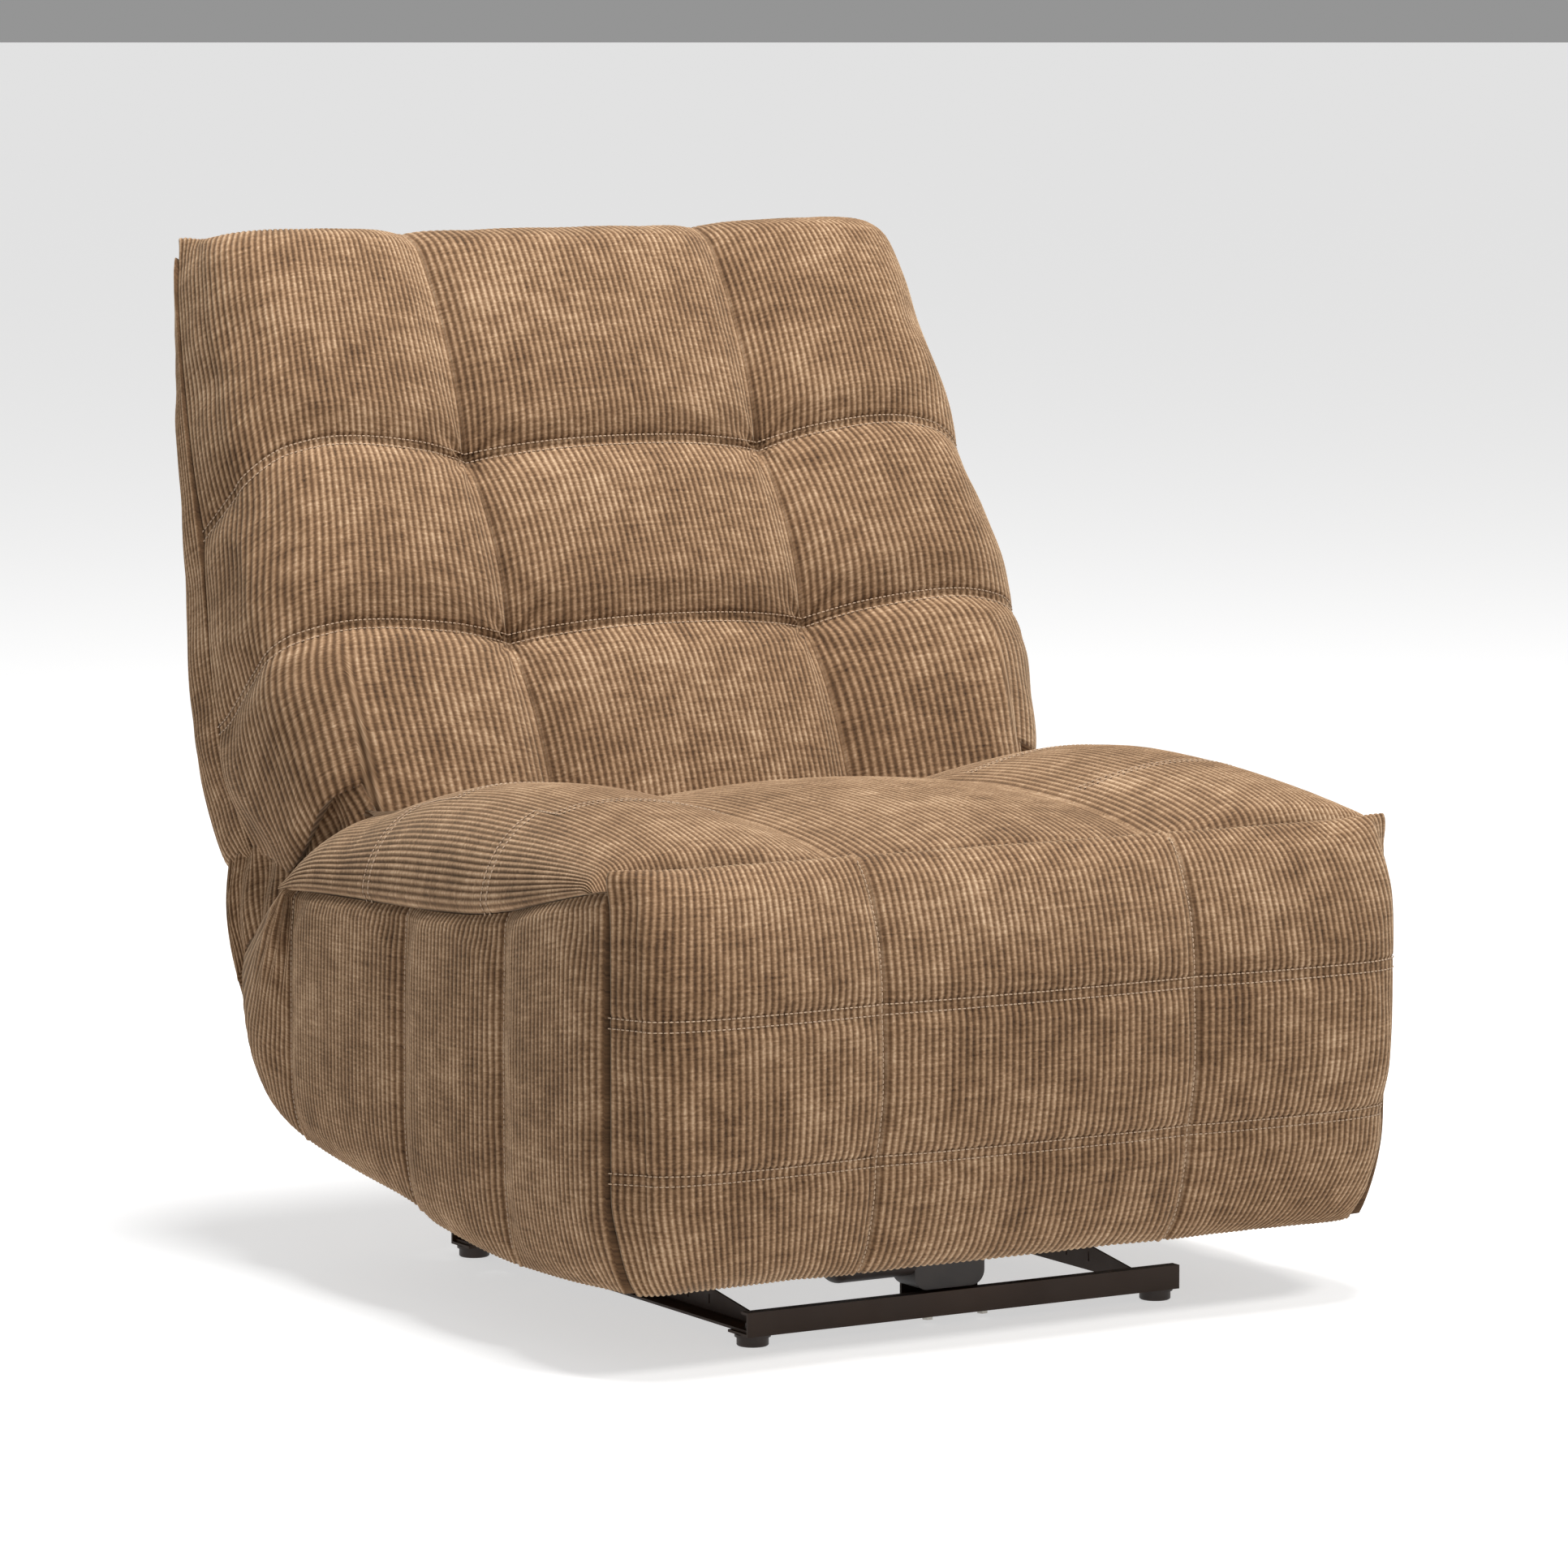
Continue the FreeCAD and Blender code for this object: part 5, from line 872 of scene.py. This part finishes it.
def back_shape(c, r):
    points = np.zeros((len(r), len(c), 3))
    for j, place in enumerate(r):
        v, depth = place, 1.0
        if place > BACK_TOP - TOP_ROLL:
            angle = radians(90) * (BACK_TOP - place) / TOP_ROLL
            v, depth = BACK_HIGH - 0.040 * (1 - cos(angle)) ** 1.15, sin(angle) ** 0.85
        puff, bowed = float(back_puff(np.array([v]))[0]), flow_at(BOW_REACH, v)
        inset = flow_at(FRONT_INSET, back_share(v))
        half = float(back_half(v)) - 0.005 * (1 - puff) - inset
        wrap = -flow_at(BOXING_LINE, v + SIDE_BOW[-1][1] * bowed)
        edge, dip, middle, side = (
            FRAME_FACE + (reach - FRAME_FACE) * depth for reach in (
                EDGE_DEPTH, DIP_DEPTH + 0.016 * puff, MIDDLE_DEPTH + 0.012 * puff, SIDE_DEPTH + 0.012 * puff))
        level = quilted_level(c, half, BACK_SEAM, wrap, edge, dip, middle, side, inset)
        points[j, :, 0] = level[:, 0]
        points[j, :, 1] = -level[:, 1]
        points[j, :, 2] = v + seam_bow(c) * bowed
    return lean(raise_sides(points))


def pull_tufts(points, c, r):
    """Each tuft's thread draws the cloth round it together, so that the ribs run in towards it."""
    for at_c in (1, 2):
        for at_r in (ROW_LOW, ROW_HIGH):
            centre = points[np.argmin(np.abs(r - at_r)), np.argmin(np.abs(c - at_c))].copy()
            towards = centre - points
            away = np.linalg.norm(towards, axis=2, keepdims=True)
            points = points + towards * TUFT_PULL * bell(away, TUFT_REACH)
    return points


def back_ears(points, c, r):
    """The ears where the top corners are sewn. The tufts are pulled first."""
    points = pull_tufts(points, c, r)
    out = bell(np.minimum(c, 3 - c)[None, :], 0.10) * bell(r[:, None] - 0.722, 0.020)
    points[..., 0] += 0.004 * out * np.sign(points[..., 0])
    points[..., 2] += 0.013 * out
    return points


def turned_in(depth, share):
    """A hem that takes the border this share of the way to the middle of the frame, at this depth."""
    middle = lean(np.array([[0, depth, 0.37]]))
    return lambda edge: edge + (middle - edge) * share


TUFTS = [(at_c, at_r, 0.0030, 0.045) for at_c in (1, 2) for at_r in (ROW_LOW, ROW_HIGH)]
sew_cover("back_cushion_cover", back_shape, (48, 49, 48), BACK_LOW, BACK_TOP,
          [(ROW_LOW, 1.0), (ROW_HIGH, 1.0)], [turned_in(-0.041, 0.04)], "back", ["back_cushion"], 1,
          swell=0.007, column_groove=0.0035, gathers=TUFTS, after=back_ears)

# Outside back: one padded panel in the same cloth behind the frame, with boxed side strips that meet the
# cushion at the boxing seams. Its lower edge hangs free so that the back can tilt over the rear pad.

SHELL_DEPTH = 0.130


def shell_shape(c, r):
    points = np.zeros((len(r), len(c), 3))
    for j, v in enumerate(r):
        half = float(back_half(v)) - 0.0005
        start = flow_at(BOXING_LINE, v) + 0.0003
        rear = max(SHELL_DEPTH * flow_at(SHELL_LINE, back_share(v)), start + 0.004)
        corner = min(0.028, (rear - start) * 0.8)
        angle = np.radians(np.linspace(0, 90, 16))
        flank = np.stack([np.full(8, half), np.linspace(start, rear - corner, 8)], axis=1)
        turned = np.stack([half - corner + corner * np.cos(angle), rear - corner + corner * np.sin(angle)],
                          axis=1)[1:]
        strip = even_steps(np.concatenate([flank, turned]), into_side(c))
        bulge = 0.0185 * min(1, (rear + 0.042) / 0.044) * (1 - ramp(np.abs(2 * c - 3)) ** 2)
        points[j, :, 0] = mirrored(c, strip[:, 0], (half - corner) * (2 * c - 3))
        points[j, :, 1] = np.where((c < 1) | (c > 2), strip[:, 1], rear + bulge)
        points[j, :, 2] = v
    return lean(raise_sides(points))


sew_cover("outside_back_cover", shell_shape, (13, 110, 13), BACK_LOW, 0.703, [], [turned_in(-0.018, 0.05)],
          "back", ["back_shell"], -1, swell=0.005, column_groove=0.002, step=0.010)

# Side gussets: a loose fold of the same cloth on each side closes the gap between the back's lower edge and
# the gathered corner of the side panel. It is sewn to both in the chair, but here it stays fixed as drawn and
# does not fold up as the back tilts.

GUSSET_RUN = 0.09
GUSSET_LOW = ((0.384, 0.085, 0.410), (0.402, 0.150, 0.392), (0.422, 0.215, 0.358), (0.424, 0.262, 0.332),
              (0.425, 0.298, 0.292), (0.420, 0.308, 0.256))
GUSSET_HIGH = ((0.384, 0.147, 0.500), (0.400, 0.180, 0.455), (0.406, 0.228, 0.416), (0.412, 0.285, 0.410),
               (0.417, 0.318, 0.398), (0.417, 0.333, 0.392))


def gusset(side):
    def shape(c, r):
        marks = np.linspace(0, 1, 6)
        low = np.stack([flowing(list(zip(marks, column)), c) for column in zip(*GUSSET_LOW)], axis=1)
        high = np.stack([flowing(list(zip(marks, column)), c) for column in zip(*GUSSET_HIGH)], axis=1)
        share = (r / GUSSET_RUN)[:, None, None]
        points = low[None] * (1 - share) + high[None] * share
        bow = np.sin(np.pi * share[..., 0])
        points[..., 0] -= 0.008 * bow * (1 - 1.6 * c) + 0.003 * np.sin(c * 34 + 3 * share[..., 0])
        points[..., 1] += 0.006 * bow * c ** 3
        points[..., 0] *= side
        return points

    return shape, [lambda edge: moved_to(edge, 0, edge[:, 0] - 0.003 * side)]


for side_name, side in (("left", -1), ("right", 1)):
    shape, hems = gusset(side)
    sew_cover("back_gusset_" + side_name, shape, (40,), 0.0, GUSSET_RUN, [], hems,
              ("seat_frame", "back", (0, 0.250, 0.320), (0, 0.290, 0.405)), [], side, swell=0.004)

# Dust curtain: a strip of black-brown spun cloth stapled to the rear board and to the foot of the back frame,
# so that the drives aren't seen from behind. It hangs with a little slack and stays fixed as drawn; it does
# not follow the back as it tilts.

CURTAIN_HALF = 0.383
dust_cloth = speckled_finish("dust_cloth", 0.95, (420, 3), [
    (0.35, (0.012, 0.010, 0.009)), (0.7, (0.030, 0.026, 0.023))], (700, 2), (0.5, 0.0004))
across_x, up = np.meshgrid(np.linspace(-CURTAIN_HALF, CURTAIN_HALF, 90), np.linspace(0, 1, 16))
slack = -0.004 * np.sin(np.pi * up) * (1.2 + np.sin(across_x * 41) * np.sin(across_x * 13 + 1))
strip = np.stack([across_x, 0.276 + 0.048 * up + slack, 0.222 + 0.120 * up], axis=2)
curtain_mesh = bpy.data.meshes.new("dust_curtain")
curtain_mesh.from_pydata(strip.reshape(-1, 3).tolist(), [], grid_faces(16, 90)[:, ::-1].tolist())
curtain_mesh.polygons.foreach_set("use_smooth", np.ones(len(curtain_mesh.polygons), bool))
curtain_mesh.materials.append(dust_cloth)
curtain = put("dust_curtain", curtain_mesh)
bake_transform(curtain)

# Stitching: every cross seam is sewn down with two rows of stout thread, a little lighter than the cloth, and
# the lengthwise seams of the side panels and the footrest pad with one. The stitches are 5 mm apart.

thread = speckled_finish("seam_thread", 0.6, (900, 2), [
    (0.3, (0.28, 0.18, 0.105)), (0.7, (0.44, 0.31, 0.20))], (2600, 1), (0.4, 0.0002))
thread.node_tree.nodes["Principled BSDF"].inputs["Sheen Weight"].default_value = 0.2

stitcher = bpy.data.node_groups.new("stitch_rows", "GeometryNodeTree")
sockets = {}
for word, kind in (("Seam Lines", "NodeSocketGeometry"), ("Stitch Pitch", "NodeSocketFloat"),
                   ("Stitch Length", "NodeSocketFloat"), ("Thread Radius", "NodeSocketFloat"),
                   ("Thread", "NodeSocketMaterial")):
    sockets[word] = stitcher.interface.new_socket(word, in_out="INPUT", socket_type=kind).identifier
stitcher.interface.new_socket("Stitches", in_out="OUTPUT", socket_type="NodeSocketGeometry")
given = stitcher.nodes.new("NodeGroupInput").outputs
marks = wire(stitcher, "GeometryNodeCurveToPoints", {
    "Curve": given["Seam Lines"], "Length": given["Stitch Pitch"]}, mode="LENGTH")
bead = wire(stitcher, "GeometryNodeMeshUVSphere", {"Segments": 6, "Rings": 4, "Radius": 1.0})
half_length = times(stitcher, given["Stitch Length"], 0.5)
spread = wire(stitcher, "ShaderNodeCombineXYZ", {
    0: given["Thread Radius"], 1: given["Thread Radius"], 2: half_length})
placed = wire(stitcher, "GeometryNodeInstanceOnPoints", {
    "Points": marks.outputs["Points"], "Instance": bead.outputs["Mesh"],
    "Rotation": marks.outputs["Rotation"], "Scale": spread.outputs[0]})
real = wire(stitcher, "GeometryNodeRealizeInstances", {"Geometry": placed.outputs[0]})
rounded = wire(stitcher, "GeometryNodeSetShadeSmooth", {"Geometry": real.outputs[0]})
coloured = wire(stitcher, "GeometryNodeSetMaterial", {
    "Geometry": rounded.outputs[0], "Material": given["Thread"]})
wire(stitcher, "NodeGroupOutput", {"Stitches": coloured.outputs[0]})

for body, lines in threads.items():
    seam = bpy.data.curves.new("seam_lines_" + body, "CURVE")
    seam.dimensions = "3D"
    for line in lines:
        run = seam.splines.new("POLY")
        run.points.add(len(line) - 1)
        run.points.foreach_set("co", np.concatenate([line, np.ones((len(line), 1))], axis=1).ravel())
    guide = put("seam_lines_" + body, seam)
    sewing = guide.modifiers.new("stitches", "NODES")
    sewing.node_group = stitcher
    for word, value in (("Stitch Pitch", 0.0050), ("Stitch Length", 0.0042), ("Thread Radius", 0.0007),
                        ("Thread", thread)):
        sewing[sockets[word]] = value
    bpy.context.view_layer.update()
    sewn = bpy.data.meshes.new_from_object(guide.evaluated_get(bpy.context.evaluated_depsgraph_get()))
    guide.modifiers.remove(sewing)
    bpy.data.objects.remove(guide)
    sewn.name = "stitches_" + body
    stitches = put("stitches_" + body, sewn)
    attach(stitches, body)

# Control switch: a black moulded plate let into the right side panel, with four round push buttons that have
# a satin face. The buttons move in by about a millimetre and a half.

switch_plastic = speckled_finish("switch_plastic", 0.35, (50, 3), [
    (0.35, (0.012, 0.012, 0.012)), (0.75, (0.022, 0.022, 0.022))], (1600,), (0.25, 0.0001))
dress(switch_plastic, "control_switch")
button_plastic = speckled_finish("button_plastic", 0.28, (200, 2), [
    (0.35, (0.20, 0.20, 0.20)), (0.75, (0.26, 0.26, 0.26))], (900,), (0.15, 0.0001))
dress(button_plastic, "button_footrest_out", "button_footrest_in", "button_back_down", "button_back_up")
